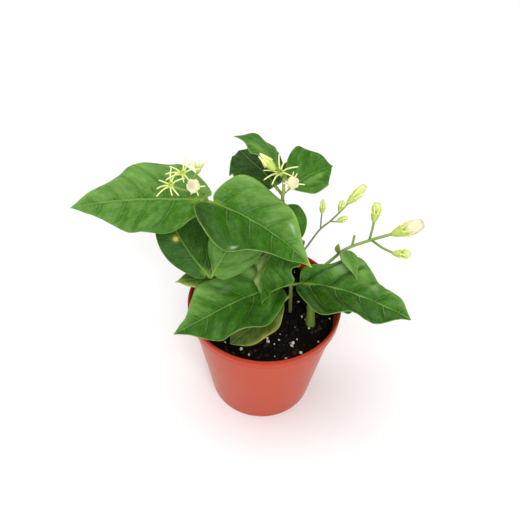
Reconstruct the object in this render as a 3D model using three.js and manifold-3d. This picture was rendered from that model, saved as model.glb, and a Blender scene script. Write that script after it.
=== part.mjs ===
// Potted arabian jasmine: a young climbing shrub in a round nursery pot.
// Millimetres, +Z up, the origin under the centre of the pot, the front towards -Y.
import * as THREE from 'three';
import { mergeVertices } from 'three/addons/utils/BufferGeometryUtils.js';
import Module from 'manifold-3d';

const wasm = await Module();
wasm.setup();

// Pot and soil
const RIM_RADIUS = 54;
const POT_HEIGHT = 91.5;
const FLOOR_RADIUS = 37.5;
const WALL = 1.3;
const COLLAR_HEIGHT = 9;
const COLLAR_STEP = 1.7;
const COLLAR_WALL = 2.6;
const EDGE_ROUND = 1;
const LIP_HEIGHT = 1.4;
const FLOOR_THICKNESS = 2;
const DRAIN_HOLES = 8;
const DRAIN_HOLE_RADIUS = 3.2;
const DRAIN_RING_RADIUS = 29;
const SOIL_TOP = 81;
const SOIL_RELIEF = 0.72;
const SOIL_DOME = 0.0008;
const POT_SIDES = 36;
const SOIL_SIDES = 32;

// Seats between touching pieces
const SEAT_GAP = 0.3;
const PETIOLE_SEAT_GAP = 0.5;

// Leaf blades
const MARGIN_THICKNESS = 0.65;
const MIDRIB_EXTRA = 0.8;
const PETIOLE_HALF_WIDTH = 1.0;
const PETIOLE_DEPTH = 1.9;
const PETIOLE_EDGE = 0.6;
const TIP_HALF_WIDTH = 0.4;
const BLADE = { rows: 12, columns: [-1, -0.66, -0.3, 0, 0.3, 0.66, 1] };
const SMALL_BLADE = { rows: 8, columns: [-1, -0.5, 0, 0.5, 1] };
const ROW_CROWDING = 0.75;
const CALM_WIDTH = 7; // narrower parts of a blade hardly wave
const LOBE_BOW = 1.5;

// Flowers
const STALK_SHARE = 0.8; // of the main stalk's radius
const CALYX_RADIUS = 2.0;
const CALYX_WALL = 0.7;
const CALYX_HEIGHT = 3;
const CALYX_FLOOR = 1.2;
const CALYX_SIDES = 6;
const LOBE_RADIUS = 0.6;
const LOBE_TIP_RADIUS = 0.35;
const LOBE_GAP = 0.45;
const BUD_RIDGES = 5;
const BUD_RIDGE = 0.09;
const BUD_TWIST = 0.9;
const NECK_SHOWING = 0.8;

const TERRACOTTA = new THREE.MeshStandardMaterial({ color: 0xd2553c, roughness: 0.45, metalness: 0 });
const EARTH = new THREE.MeshStandardMaterial({ color: 0x2a1d18, roughness: 0.95, metalness: 0 });
const YOUNG_STEM = new THREE.MeshStandardMaterial({ color: 0x6f9a3c, roughness: 0.5, metalness: 0 });
const THIN_STEM = new THREE.MeshStandardMaterial({ color: 0x6c6a3a, roughness: 0.6, metalness: 0 });
const GLOSSY_LEAF = new THREE.MeshStandardMaterial({ color: 0x3f7d2a, roughness: 0.35, metalness: 0 });
const DARK_LEAF = new THREE.MeshStandardMaterial({ color: 0x2c5f2a, roughness: 0.4, metalness: 0 });
const YELLOW_LEAF = new THREE.MeshStandardMaterial({ color: 0x8fa544, roughness: 0.5, metalness: 0 });
const CALYX_GREEN = new THREE.MeshStandardMaterial({ color: 0xb4c65a, roughness: 0.5, metalness: 0 });
const CREAM = new THREE.MeshStandardMaterial({ color: 0xf1efcf, roughness: 0.55, metalness: 0 });

function vec(point) {
  return new THREE.Vector3(...point);
}

function mix(a, b, k) {
  return a + (b - a) * k;
}

function clamp01(value) {
  return Math.min(1, Math.max(0, value));
}

function radians(degrees) {
  return THREE.MathUtils.degToRad(degrees);
}

// The surface of any closed skin, given its points and its corner triples.
function skin(points, triangles) {
  const geometry = new THREE.BufferGeometry();
  const coordinates = points.flatMap((p) => [p.x, p.y, p.z]);
  geometry.setAttribute('position', new THREE.Float32BufferAttribute(coordinates, 3));
  geometry.setIndex(triangles.flat());
  geometry.computeVertexNormals();
  return geometry;
}

// A skin over rings of equally many points, closed by a fan at each end.
function loft(rings) {
  const sides = rings[0].length;
  const points = rings.flat();
  const triangles = [];
  for (let i = 0; i + 1 < rings.length; i += 1) {
    for (let j = 0; j < sides; j += 1) {
      const a = i * sides + j;
      const b = i * sides + (j + 1) % sides;
      triangles.push([a, b, b + sides], [a, b + sides, a + sides]);
    }
  }
  const ends = [rings[0], rings[rings.length - 1]];
  ends.forEach((ring, end) => {
    const centre = ring.reduce((sum, p) => sum.add(p), new THREE.Vector3()).divideScalar(sides);
    const first = end * (rings.length - 1) * sides;
    points.push(centre);
    for (let j = 0; j < sides; j += 1) {
      const edge = [first + (j + 1) % sides, first + j];
      triangles.push([points.length - 1, ...(end ? edge.reverse() : edge)]);
    }
  });
  return skin(points, triangles);
}

// A tube along a smooth curve through the given points; its radius may vary along it.
function taperedTube(route, radiusAt, sides, steps) {
  const curve = new THREE.CatmullRomCurve3(route.map(vec), false, 'centripetal');
  const frames = curve.computeFrenetFrames(steps, false);
  const rings = [];
  for (let i = 0; i <= steps; i += 1) {
    const centre = curve.getPointAt(i / steps);
    const ring = [];
    for (let j = 0; j < sides; j += 1) {
      const angle = (2 * Math.PI * j) / sides;
      const out = frames.normals[i].clone().multiplyScalar(Math.cos(angle));
      out.addScaledVector(frames.binormals[i], Math.sin(angle));
      ring.push(centre.clone().addScaledVector(out, radiusAt(i / steps)));
    }
    rings.push(ring);
  }
  return loft(rings);
}

function toSolid(geometry) {
  const bare = geometry.clone();
  bare.deleteAttribute('normal');
  bare.deleteAttribute('uv');
  const merged = mergeVertices(bare, 1e-4);
  return new wasm.Manifold(new wasm.Mesh({
    numProp: 3,
    vertProperties: new Float32Array(merged.attributes.position.array),
    triVerts: new Uint32Array(merged.index.array),
  }));
}

function fromSolid(solid) {
  const mesh = solid.getMesh();
  const geometry = new THREE.BufferGeometry();
  geometry.setAttribute('position', new THREE.BufferAttribute(mesh.vertProperties, 3));
  geometry.setIndex(new THREE.BufferAttribute(mesh.triVerts, 1));
  geometry.computeVertexNormals();
  return geometry;
}

function fuse(geometries) {
  return fromSolid(geometries.map(toSolid).reduce((whole, piece) => whole.add(piece)));
}

function cut(geometry, tools) {
  return fromSolid(tools.map(toSolid).reduce((rest, tool) => rest.subtract(tool), toSolid(geometry)));
}

// Pot: one thin wall with a stepped collar, a rounded lip and a flat floor.
function outerRadiusAt(z) {
  const bodyTop = POT_HEIGHT - COLLAR_HEIGHT;
  return mix(FLOOR_RADIUS, RIM_RADIUS - COLLAR_STEP - EDGE_ROUND, z / bodyTop);
}

function potGeometry() {
  const bodyTop = POT_HEIGHT - COLLAR_HEIGHT;
  const profile = [
    [0, 0],
    [FLOOR_RADIUS - EDGE_ROUND, 0],
    [FLOOR_RADIUS, EDGE_ROUND],
    [outerRadiusAt(bodyTop), bodyTop],
    [RIM_RADIUS - EDGE_ROUND / 2, bodyTop + EDGE_ROUND / 2],
    [RIM_RADIUS, POT_HEIGHT - LIP_HEIGHT],
    [RIM_RADIUS - EDGE_ROUND / 2, POT_HEIGHT - 0.3],
    [RIM_RADIUS - COLLAR_WALL / 2, POT_HEIGHT],
    [RIM_RADIUS - COLLAR_WALL + 0.4, POT_HEIGHT - 0.9],
    [RIM_RADIUS - COLLAR_WALL, bodyTop + WALL],
    [outerRadiusAt(bodyTop) - WALL, bodyTop - WALL / 2],
    [outerRadiusAt(FLOOR_THICKNESS) - WALL, FLOOR_THICKNESS],
    [0, FLOOR_THICKNESS],
  ];
  const wall = new THREE.LatheGeometry(profile.map(([r, z]) => new THREE.Vector2(r, z)), POT_SIDES);
  wall.rotateX(Math.PI / 2);
  const drills = [];
  for (let i = 0; i < DRAIN_HOLES; i += 1) {
    const angle = (2 * Math.PI * (i + 0.5)) / DRAIN_HOLES;
    const depth = 3 * FLOOR_THICKNESS;
    const drill = new THREE.CylinderGeometry(DRAIN_HOLE_RADIUS, DRAIN_HOLE_RADIUS, depth, 12);
    drill.rotateX(Math.PI / 2);
    drill.translate(DRAIN_RING_RADIUS * Math.cos(angle), DRAIN_RING_RADIUS * Math.sin(angle), 0);
    drills.push(drill);
  }
  return cut(wall, drills);
}

// Soil: fills the pot to just under the collar, with a lumpy top.
function soilHeightAt(x, y) {
  const broad = Math.sin(0.31 * x + 1.3) * Math.cos(0.27 * y - 0.6);
  const small = 0.6 * Math.sin(0.55 * x - 0.43 * y);
  return SOIL_TOP + SOIL_RELIEF * (broad + small) - SOIL_DOME * (x * x + y * y);
}

function soilGeometry(holes) {
  const clearance = WALL + SEAT_GAP + 0.1;
  const floor = FLOOR_THICKNESS + SEAT_GAP;
  const edge = outerRadiusAt(SOIL_TOP) - clearance;
  const topRings = [0.98, 0.8, 0.6, 0.4, 0.2, 0].map((k) => [k * edge, SOIL_TOP]);
  const profile = [
    [0, floor],
    [outerRadiusAt(floor) - clearance, floor],
    [edge - 0.4, SOIL_TOP - 3],
    ...topRings,
  ];
  const body = new THREE.LatheGeometry(profile.map(([r, z]) => new THREE.Vector2(r, z)), SOIL_SIDES);
  body.rotateX(Math.PI / 2);
  const position = body.attributes.position;
  for (let i = 0; i < position.count; i += 1) {
    if (position.getZ(i) > SOIL_TOP - 1) {
      position.setZ(i, soilHeightAt(position.getX(i), position.getY(i)));
    }
  }
  return cut(body, holes);
}

// Stems. A route lists points on the centre line from the buried foot to the top.
const STEMS = {
  stem_left: {
    material: YOUNG_STEM, foot: 1.9, top: 1.2,
    route: [[-18, 24, 71], [-18, 24, 80], [-26, 31, 104], [-38, 37, 132], [-43, 28, 153],
      [-40, 12.5, 171.5], [-41, 12.5, 177]],
  },
  stem_short: {
    material: YOUNG_STEM, foot: 1.7, top: 1.3,
    route: [[-15, 18, 71], [-16, 18, 80], [-25, 20, 94], [-35, 16, 106], [-38, 5, 112.5],
      [-37.5, -1, 114]],
  },
  stem_middle: {
    material: THIN_STEM, foot: 1.4, top: 1.0,
    route: [[19, 0, 71], [18.5, 0, 80], [17.7, 0.5, 97], [17.3, 1.3, 108], [15.5, 5, 119], [13.5, 12, 140],
      [8.5, 22.5, 166], [8.5, 18, 176], [8.5, 21, 186], [8.8, 20, 190]],
  },
  stem_right: {
    material: YOUNG_STEM, foot: 4.2, top: 1.4,
    route: [[33, -11, 71], [32.6, -10.5, 80], [32, -6.5, 94], [31, 0, 102], [31, 6, 107]],
  },
};

const STEM_SIDES = 8;

function stemRadiusAt(stem, k) {
  return mix(stem.foot, stem.top, k);
}

function stemGeometry(stem) {
  return taperedTube(stem.route, (k) => stemRadiusAt(stem, k), STEM_SIDES, 3 * stem.route.length);
}

// The plain hole in which a stem stands, a little wider and deeper than its foot.
function stemHole(stem) {
  const [foot, ...above] = stem.route.slice(0, 4);
  const deeper = [foot[0], foot[1], foot[2] - SEAT_GAP];
  const radius = stem.foot + SEAT_GAP + 0.25;
  return taperedTube([deeper, ...above], () => radius, STEM_SIDES, 9);
}

// Leaves. Each entry gives the stem that carries the leaf, the point of that stem where it
// sits, its tip, and how its blade is shaped. Left and right are seen from the foot; back tells
// how far a lobe at the foot is drawn back past the stem.
const LEAF_DEFAULTS = {
  width: 44, arch: 4, sweep: 0, roll: 0, fold: 12, cup: 15, left: 1, right: 1,
  peak: 0.4, blunt: 0.58, point: 1.3, wave: 2.5, waves: 2.3, leftPhase: 0.2, rightPhase: 0.7,
  skew: 0, curl: 0, petiole: 6, backLeft: 0, backRight: 0, mesh: BLADE, material: GLOSSY_LEAF,
};

const LEAVES = {
  leaf_left: {
    stem: 'stem_left', node: [-40, 12.5, 171.5], tip: [-131, 20, 153], width: 52, roll: 26,
    arch: -3.5, sweep: -4.5, fold: -2, cup: 28, left: 0.87, right: 1.22, blunt: 0.8,
    point: 1.08, wave: 4.2, waves: 2.65, leftPhase: 0.13, rightPhase: 0.8, skew: -0.25,
    petiole: 3, backLeft: 12, backRight: 9,
  },
  leaf_centre: {
    stem: 'stem_left', node: [-40, 12.5, 171.5], tip: [27, -30, 160], width: 53, roll: -14,
    arch: 3, sweep: 3.5, fold: 22, cup: 6, left: 0.92, right: 1.16, peak: 0.31, blunt: 0.95,
    point: 1.15, wave: 5.4, waves: 1.85, leftPhase: 0.02, rightPhase: 0.07, curl: 1.2,
    petiole: 3, backLeft: 3, backRight: 11,
  },
  leaf_back_left: {
    stem: 'stem_short', node: [-37.5, -1, 114], tip: [-75, 42, 147], width: 32, roll: 12,
    arch: 3.5, sweep: 4, fold: 7, cup: 34, left: 0.94, right: 1.29, peak: 0.47, blunt: 0.46,
    point: 1.4, wave: 1.8, waves: 2.1, leftPhase: 0.07, rightPhase: 0.58, skew: 0.2,
    petiole: 1, backLeft: 1, backRight: -1.6, material: DARK_LEAF,
  },
  leaf_back_middle: {
    stem: 'stem_short', node: [-37.5, -1, 114], tip: [-10, 47, 145], width: 38, roll: -6, arch: 6,
    sweep: -3, fold: 10, cup: 20, left: 0.87, right: 1.18, peak: 0.48, blunt: 0.43, wave: 1.7,
    leftPhase: 0.63, rightPhase: 0.1, petiole: 1, backLeft: -4.8, backRight: 1, material: DARK_LEAF,
  },
  leaf_front_left: {
    stem: 'stem_middle', node: [17.3, 1.3, 108], tip: [-59, -35, 90], width: 52, roll: 0, arch: 8,
    sweep: 0.7, fold: 14, cup: 13, left: 1.08, right: 1.03, blunt: 0.48, point: 1.08, wave: 4.8,
    waves: 2.2, leftPhase: 0.2, rightPhase: 0.8, skew: 0.2, curl: -4,
  },
  leaf_hanging: {
    stem: 'stem_middle', node: [13.5, 12, 140], tip: [-1, -23, 114], width: 47, roll: -46,
    arch: 9, sweep: 2, fold: -2, cup: 28, left: 1.12, right: 1.1, peak: 0.38, blunt: 0.5,
    point: 1.45, wave: 4, waves: 2.6, leftPhase: 0.3, rightPhase: 0.4, skew: 0.15, curl: -1,
    petiole: 5, backRight: 8, material: DARK_LEAF,
  },
  leaf_right: {
    stem: 'stem_middle', node: [17.3, 1.3, 108], tip: [98.5, -21, 102], width: 53, roll: 5,
    arch: 7.5, fold: 15, cup: 13, left: 1.05, peak: 0.36, blunt: 0.55, point: 0.9, wave: 5,
    waves: 2.1, leftPhase: 0.35, rightPhase: 0.22, skew: 0.3, petiole: 4, backLeft: 2,
  },
  leaf_top_small: {
    stem: 'stem_middle', node: [8.5, 21, 186], tip: [-25, 37, 202.5], width: 23, roll: -13,
    arch: 5.5, sweep: -3, fold: 9, cup: 18, peak: 0.45, wave: 1.3, waves: 2.2, leftPhase: 0.43,
    rightPhase: 0.7, skew: -0.35, curl: -2, mesh: SMALL_BLADE,
  },
  leaf_top_back: {
    stem: 'stem_middle', node: [8.5, 19.5, 172], tip: [-21.5, 54, 177], width: 41, roll: -3,
    arch: 5, sweep: 1.5, fold: 8, cup: 19, left: 1.02, peak: 0.38, point: 0.75, wave: 3.8,
    waves: 2.7, leftPhase: 0, rightPhase: 0.72, curl: -3, material: DARK_LEAF,
  },
  leaf_top_right: {
    stem: 'stem_middle', node: [8.5, 18, 176], tip: [40, 40, 181], width: 35, roll: -25, arch: 4,
    sweep: 1.2, fold: 20, cup: 9, left: 1.1, right: 0.82, peak: 0.45, wave: 2.8, waves: 2.2,
    leftPhase: 0.34, rightPhase: 0.16, curl: -1, petiole: 4, material: DARK_LEAF,
  },
  leaf_behind_centre: {
    stem: 'stem_middle', node: [8.5, 22.5, 166], tip: [18.5, -1, 143], width: 25.5, roll: -23,
    arch: 7, left: 0.98, peak: 0.36, blunt: 0.45, wave: 1.3, leftPhase: 0.94, rightPhase: 0, petiole: 3,
    material: DARK_LEAF, mesh: SMALL_BLADE,
  },
  leaf_low_left: {
    stem: 'stem_short', node: [-25, 20, 94], tip: [-61, -4, 111], width: 24, roll: 6, arch: 2,
    left: 1, right: 0.9, fold: 0, cup: 10, wave: 1.7, leftPhase: 0.68, rightPhase: 0.15,
    petiole: 8, material: DARK_LEAF, mesh: SMALL_BLADE,
  },
  leaf_old_yellow: {
    stem: 'stem_middle', node: [17.7, 0.5, 97], tip: [-22, -34, 84], width: 36, roll: -3, arch: 2,
    sweep: 2, fold: 11, left: 0.8, peak: 0.52, blunt: 0.62, point: 0.85, wave: 2, waves: 2.2, leftPhase: 0,
    rightPhase: 0.3, material: YELLOW_LEAF,
  },
  leaf_low_back: {
    stem: 'stem_left', node: [-26, 31, 104], tip: [-24, 84, 96], width: 36, arch: 8, wave: 2,
    material: DARK_LEAF, mesh: SMALL_BLADE,
  },
  leaf_low_middle: {
    stem: 'stem_middle', node: [15.5, 5, 119], tip: [4, 62, 99], width: 34, arch: 5, left: 1.4, wave: 2.2,
    material: DARK_LEAF, mesh: SMALL_BLADE,
  },
  leaf_middle_back: {
    stem: 'stem_middle', node: [13.5, 12, 140], tip: [10, 50, 120], width: 26, arch: 3, wave: 1.6,
    material: DARK_LEAF, mesh: SMALL_BLADE,
  },
  leaf_low_right: {
    stem: 'stem_right', node: [32, -6.5, 94], tip: [69, 5, 89], width: 26, arch: 4, wave: 1.6,
    material: DARK_LEAF, mesh: SMALL_BLADE,
  },
  leaf_spray_large: {
    stem: 'spray_right', node: [54.3, 26.6, 118], tip: [61, -3, 120], width: 12, arch: 5,
    fold: 10, left: 0.75, right: 1.2, wave: 0.4, petiole: 1.5, mesh: SMALL_BLADE,
  },
  leaf_spray_small: {
    stem: 'spray_right', node: [51.2, 25.7, 115.1], tip: [48.8, 22.4, 127.5], width: 4.4,
    roll: 180, arch: 1, fold: 10, blunt: 0.45, point: 0.6, wave: 0.2, petiole: 1, mesh: SMALL_BLADE,
  },
};

// How wide the blade is at t of its length, as a part of its greatest width.
function bladeWidthAt(leaf, t) {
  const belly = Math.sin(Math.PI * t ** (Math.log(0.5) / Math.log(leaf.peak)));
  return Math.max(0, belly) ** mix(leaf.blunt, leaf.point, t);
}

// The axes of a leaf: along it, across it to its left, and away from its upper face.
function leafAxes(leaf, base, tip) {
  const along = tip.clone().sub(base).normalize();
  const level = new THREE.Vector3(0, 0, 1).addScaledVector(along, -along.z).normalize();
  const up = level.clone().applyAxisAngle(along, -radians(leaf.roll));
  return { along, up, left: up.clone().cross(along) };
}

// The curved centre line of the leaf, u running from its foot to its tip.
function midribPoint(leaf, axes, base, length, u) {
  const hump = 4 * u * (1 - u) * (1 + leaf.skew * (1 - 2 * u));
  const curl = Math.max(0, (u - 0.6) / 0.4) ** 2;
  return base.clone()
    .addScaledVector(axes.along, length * u)
    .addScaledVector(axes.up, leaf.arch * hump - leaf.curl * curl)
    .addScaledVector(axes.left, leaf.sweep * hump);
}

// How strongly the foot of the blade is drawn back into lobes at t of its length.
function lobeSweep(t) {
  return (1 - Math.exp(-t / 0.004)) * (1 - t) ** 8;
}

// One crosswise row of points on the middle surface of the leaf.
function leafRow(leaf, base, tip, u) {
  const axes = leafAxes(leaf, base, tip);
  const length = tip.distanceTo(base);
  const stalk = leaf.petiole / length;
  const t = clamp01((u - stalk) / (1 - stalk));
  const step = 1e-3;
  const centre = midribPoint(leaf, axes, base, length, u);
  const forward = midribPoint(leaf, axes, base, length, u + step)
    .sub(midribPoint(leaf, axes, base, length, u - step)).normalize();
  const across = axes.left.clone().addScaledVector(forward, -forward.dot(axes.left)).normalize();
  const rise = forward.clone().cross(across);
  const half = leaf.width / 2;
  const blade = Math.max(half * bladeWidthAt(leaf, t), mix(PETIOLE_HALF_WIDTH, TIP_HALF_WIDTH, t));
  return leaf.mesh.columns.map((v) => {
    const out = Math.abs(v);
    const reach = blade * out * (v > 0 ? leaf.left : leaf.right);
    const slope = radians(leaf.fold - (leaf.cup * out) / 2);
    const phase = v > 0 ? leaf.leftPhase : leaf.rightPhase;
    const beat = Math.sin(2 * Math.PI * (leaf.waves * t + phase));
    const swell = Math.sqrt(blade / half) * clamp01(blade / CALM_WIDTH);
    const ripple = leaf.wave * swell * out * out * beat;
    const back = (v > 0 ? leaf.backLeft : leaf.backRight) * out ** LOBE_BOW * lobeSweep(t);
    return centre.clone()
      .addScaledVector(forward, -back)
      .addScaledVector(across, Math.sign(v) * reach * Math.cos(slope))
      .addScaledVector(rise, reach * Math.sin(slope) + (t > 0 ? ripple : 0));
  });
}

function leafThickness(t, v) {
  if (t <= 0) {
    return mix(PETIOLE_EDGE, PETIOLE_DEPTH, 1 - v * v);
  }
  return MARGIN_THICKNESS + MIDRIB_EXTRA * (1 - Math.abs(v)) ** 4 * (1 - 0.6 * t);
}

// A closed sheet round a grid of middle points, split alike on both faces. A narrow row lies
// level across, the way its middle point does.
function thickSheet(grid, thickness, isNarrow) {
  const rows = grid.length;
  const columns = grid[0].length;
  const index = (i, j) => i * columns + j;
  const cells = [];
  for (let i = 0; i + 1 < rows; i += 1) {
    for (let j = 0; j + 1 < columns; j += 1) {
      const corners = [index(i, j), index(i + 1, j), index(i + 1, j + 1), index(i, j + 1)];
      const [a, b, c, d] = corners;
      const leftHalf = j >= (columns - 1) / 2;
      cells.push(...(leftHalf ? [[a, b, c], [a, c, d]] : [[a, b, d], [b, c, d]]));
    }
  }
  const middle = skin(grid.flat(), cells);
  const normal = middle.attributes.normal;
  const top = [];
  const bottom = [];
  grid.flat().forEach((point, k) => {
    const row = Math.floor(k / columns);
    const guide = isNarrow(row) ? index(row, (columns - 1) / 2) : k;
    const away = new THREE.Vector3(normal.getX(guide), normal.getY(guide), normal.getZ(guide));
    const half = thickness(row, k % columns) / 2;
    top.push(point.clone().addScaledVector(away, half));
    bottom.push(point.clone().addScaledVector(away, -half));
  });
  const count = top.length;
  const border = [];
  for (let j = 0; j + 1 < columns; j += 1) {
    border.push([index(0, j), index(0, j + 1)], [index(rows - 1, j + 1), index(rows - 1, j)]);
  }
  for (let i = 0; i + 1 < rows; i += 1) {
    border.push([index(i + 1, 0), index(i, 0)], [index(i, columns - 1), index(i + 1, columns - 1)]);
  }
  const under = cells.map(([a, b, c]) => [a + count, c + count, b + count]);
  const rim = border.flatMap(([a, b]) => [[a, b, b + count], [a, b + count, a + count]]);
  return skin([...top, ...bottom], [...cells, ...under, ...rim]);
}

// Where a leaf or a stalk with a foot this wide begins: on the side of its carrier that faces
// its far end, or on the carrier's tip.
function seatOn(carrier, node, towards, footRadius, gap) {
  const start = vec(node);
  const route = new THREE.CatmullRomCurve3(carrier.route.map(vec), false, 'centripetal');
  let nearest = 0;
  for (let i = 0; i <= 200; i += 1) {
    if (route.getPointAt(i / 200).distanceTo(start) < route.getPointAt(nearest).distanceTo(start)) {
      nearest = i / 200;
    }
  }
  const axis = route.getTangentAt(nearest);
  const direction = vec(towards).sub(start).normalize();
  const slant = Math.abs(direction.dot(axis));
  if (nearest === 1 && slant > 0.5) {
    return start.addScaledVector(axis, gap + footRadius * Math.sqrt(1 - slant * slant));
  }
  const away = direction.addScaledVector(axis, -direction.dot(axis)).normalize();
  return start.addScaledVector(away, stemRadiusAt(carrier, nearest) + gap + footRadius * slant);
}

// The direction in which a leaf leaves its stem, as a point a little way along its midrib.
function leafHeading(leaf, start, tip) {
  return midribPoint(leaf, leafAxes(leaf, start, tip), start, tip.distanceTo(start), 0.02);
}

function leafGeometry(leaf) {
  const tip = vec(leaf.tip);
  const heading = leafHeading(leaf, vec(leaf.node), tip).toArray();
  const base = seatOn(CARRIERS[leaf.stem], leaf.node, heading, PETIOLE_HALF_WIDTH, PETIOLE_SEAT_GAP);
  const stalk = leaf.petiole / tip.distanceTo(base);
  const { rows: count, columns } = leaf.mesh;
  const rows = [0, stalk / 2, stalk];
  for (let i = 1; i <= count; i += 1) {
    const k = i / count;
    const t = mix(k, (1 - Math.cos(Math.PI * k)) / 2, ROW_CROWDING);
    rows.push(mix(stalk, 1, t));
  }
  const grid = rows.map((u) => leafRow(leaf, base, tip, u));
  const thickness = (i, j) => leafThickness((rows[i] - stalk) / (1 - stalk), columns[j]);
  const isNarrow = (i) => rows[i] <= stalk || i === rows.length - 1;
  return thickSheet(grid, thickness, isNarrow);
}

// Turns a shape made along +Z so that it starts at a point and runs towards another.
function aim(geometry, from, to) {
  const direction = vec(to).sub(vec(from)).normalize();
  const turn = new THREE.Quaternion().setFromUnitVectors(new THREE.Vector3(0, 0, 1), direction);
  geometry.applyQuaternion(turn);
  geometry.translate(...from);
  return geometry;
}

// Where a bud stands in a calyx of this size: the radius and foot of its neck, and where it swells.
function budSeat(size) {
  return {
    neck: (CALYX_RADIUS * size - CALYX_WALL) * Math.cos(Math.PI / CALYX_SIDES) - SEAT_GAP,
    seat: CALYX_FLOOR * size + SEAT_GAP,
    mouth: CALYX_HEIGHT * size + NECK_SHOWING,
  };
}

// How much of its belly a bud has at k of its length above the calyx.
function budSwell(k) {
  return Math.sin(Math.PI * k ** 0.9) ** 0.7;
}

// How far the bud in a calyx reaches out at a height above the foot of the calyx.
function budReachAt(bud, size, height) {
  const { neck, mouth } = budSeat(size);
  const k = clamp01((height - mouth) / (bud.length - mouth));
  return mix(neck, bud.belly, budSwell(k)) * (1 + BUD_RIDGE);
}

// A small cup with a ring of narrow lobes round its mouth, which lie round its bud if it has one.
function calyx({ from, to, lobes, lobeLength, spread, size = 1, bud }) {
  const radius = CALYX_RADIUS * size;
  const height = CALYX_HEIGHT * size;
  const profile = [
    [0, -0.4 * height], [0.35 * radius, -0.4 * height], [0.75 * radius, 0.1 * height],
    [radius, 0.75 * height], [radius, height],
    [radius - CALYX_WALL, height], [radius - CALYX_WALL, CALYX_FLOOR * size], [0, CALYX_FLOOR * size],
  ];
  const cup = new THREE.LatheGeometry(profile.map(([r, z]) => new THREE.Vector2(r, z)), CALYX_SIDES);
  cup.rotateX(Math.PI / 2);
  const pieces = [aim(cup, from, to)];
  for (let i = 0; i < lobes; i += 1) {
    const turn = (2 * Math.PI * (i + 0.3 * Math.sin(2.4 * i))) / lobes;
    const reach = lobeLength * (1 + 0.15 * Math.sin(3.7 * i + 1));
    const lean = radians(spread + 8 * Math.sin(2.1 * i));
    const root = radius - 0.35;
    const point = (along, tilt) => {
      const z = 0.8 * height + along * Math.cos(tilt);
      const clear = bud && along ? budReachAt(bud, size, z) + LOBE_RADIUS + LOBE_GAP : 0;
      const out = Math.max(root + along * Math.sin(tilt), clear);
      return [out * Math.cos(turn), out * Math.sin(turn), z];
    };
    const route = [
      point(0, lean),
      point(0.3 * reach, 0.75 * lean),
      point(0.65 * reach, 0.9 * lean),
      point(reach, lean),
    ];
    const lobe = taperedTube(route, (k) => mix(LOBE_RADIUS, LOBE_TIP_RADIUS, k), 3, 3);
    pieces.push(aim(lobe, from, to));
  }
  return pieces;
}

// A closed or opening flower bud: a neck that stands in its calyx and swells above it, with
// petals wound round it.
function budGeometry({ from, to, size = 1, bud }) {
  const { neck, seat, mouth } = budSeat(size);
  const steps = 6;
  const sides = 2 * BUD_RIDGES;
  const ringAt = (radius, height, turn, depth) => {
    const ring = [];
    for (let j = 0; j < sides; j += 1) {
      const angle = (2 * Math.PI * j) / sides + turn;
      const wound = radius * (1 + depth * (j % 2 ? -1 : 1));
      ring.push(new THREE.Vector3(wound * Math.cos(angle), wound * Math.sin(angle), height));
    }
    return ring;
  };
  const rings = [ringAt(neck, seat, 0, 0), ringAt(neck, mouth, 0, 0)];
  for (let i = 1; i <= steps; i += 1) {
    const k = i / steps;
    const radius = i < steps ? mix(neck, bud.belly, budSwell(k)) : 0.5 * neck;
    const height = mix(mouth, bud.length, k);
    rings.push(ringAt(radius, height, BUD_TWIST * k, BUD_RIDGE * Math.sin(Math.PI * k)));
  }
  return aim(loft(rings), from, to);
}

function stalk(route, radius) {
  return taperedTube(route, () => radius, 5, route.length);
}

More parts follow.
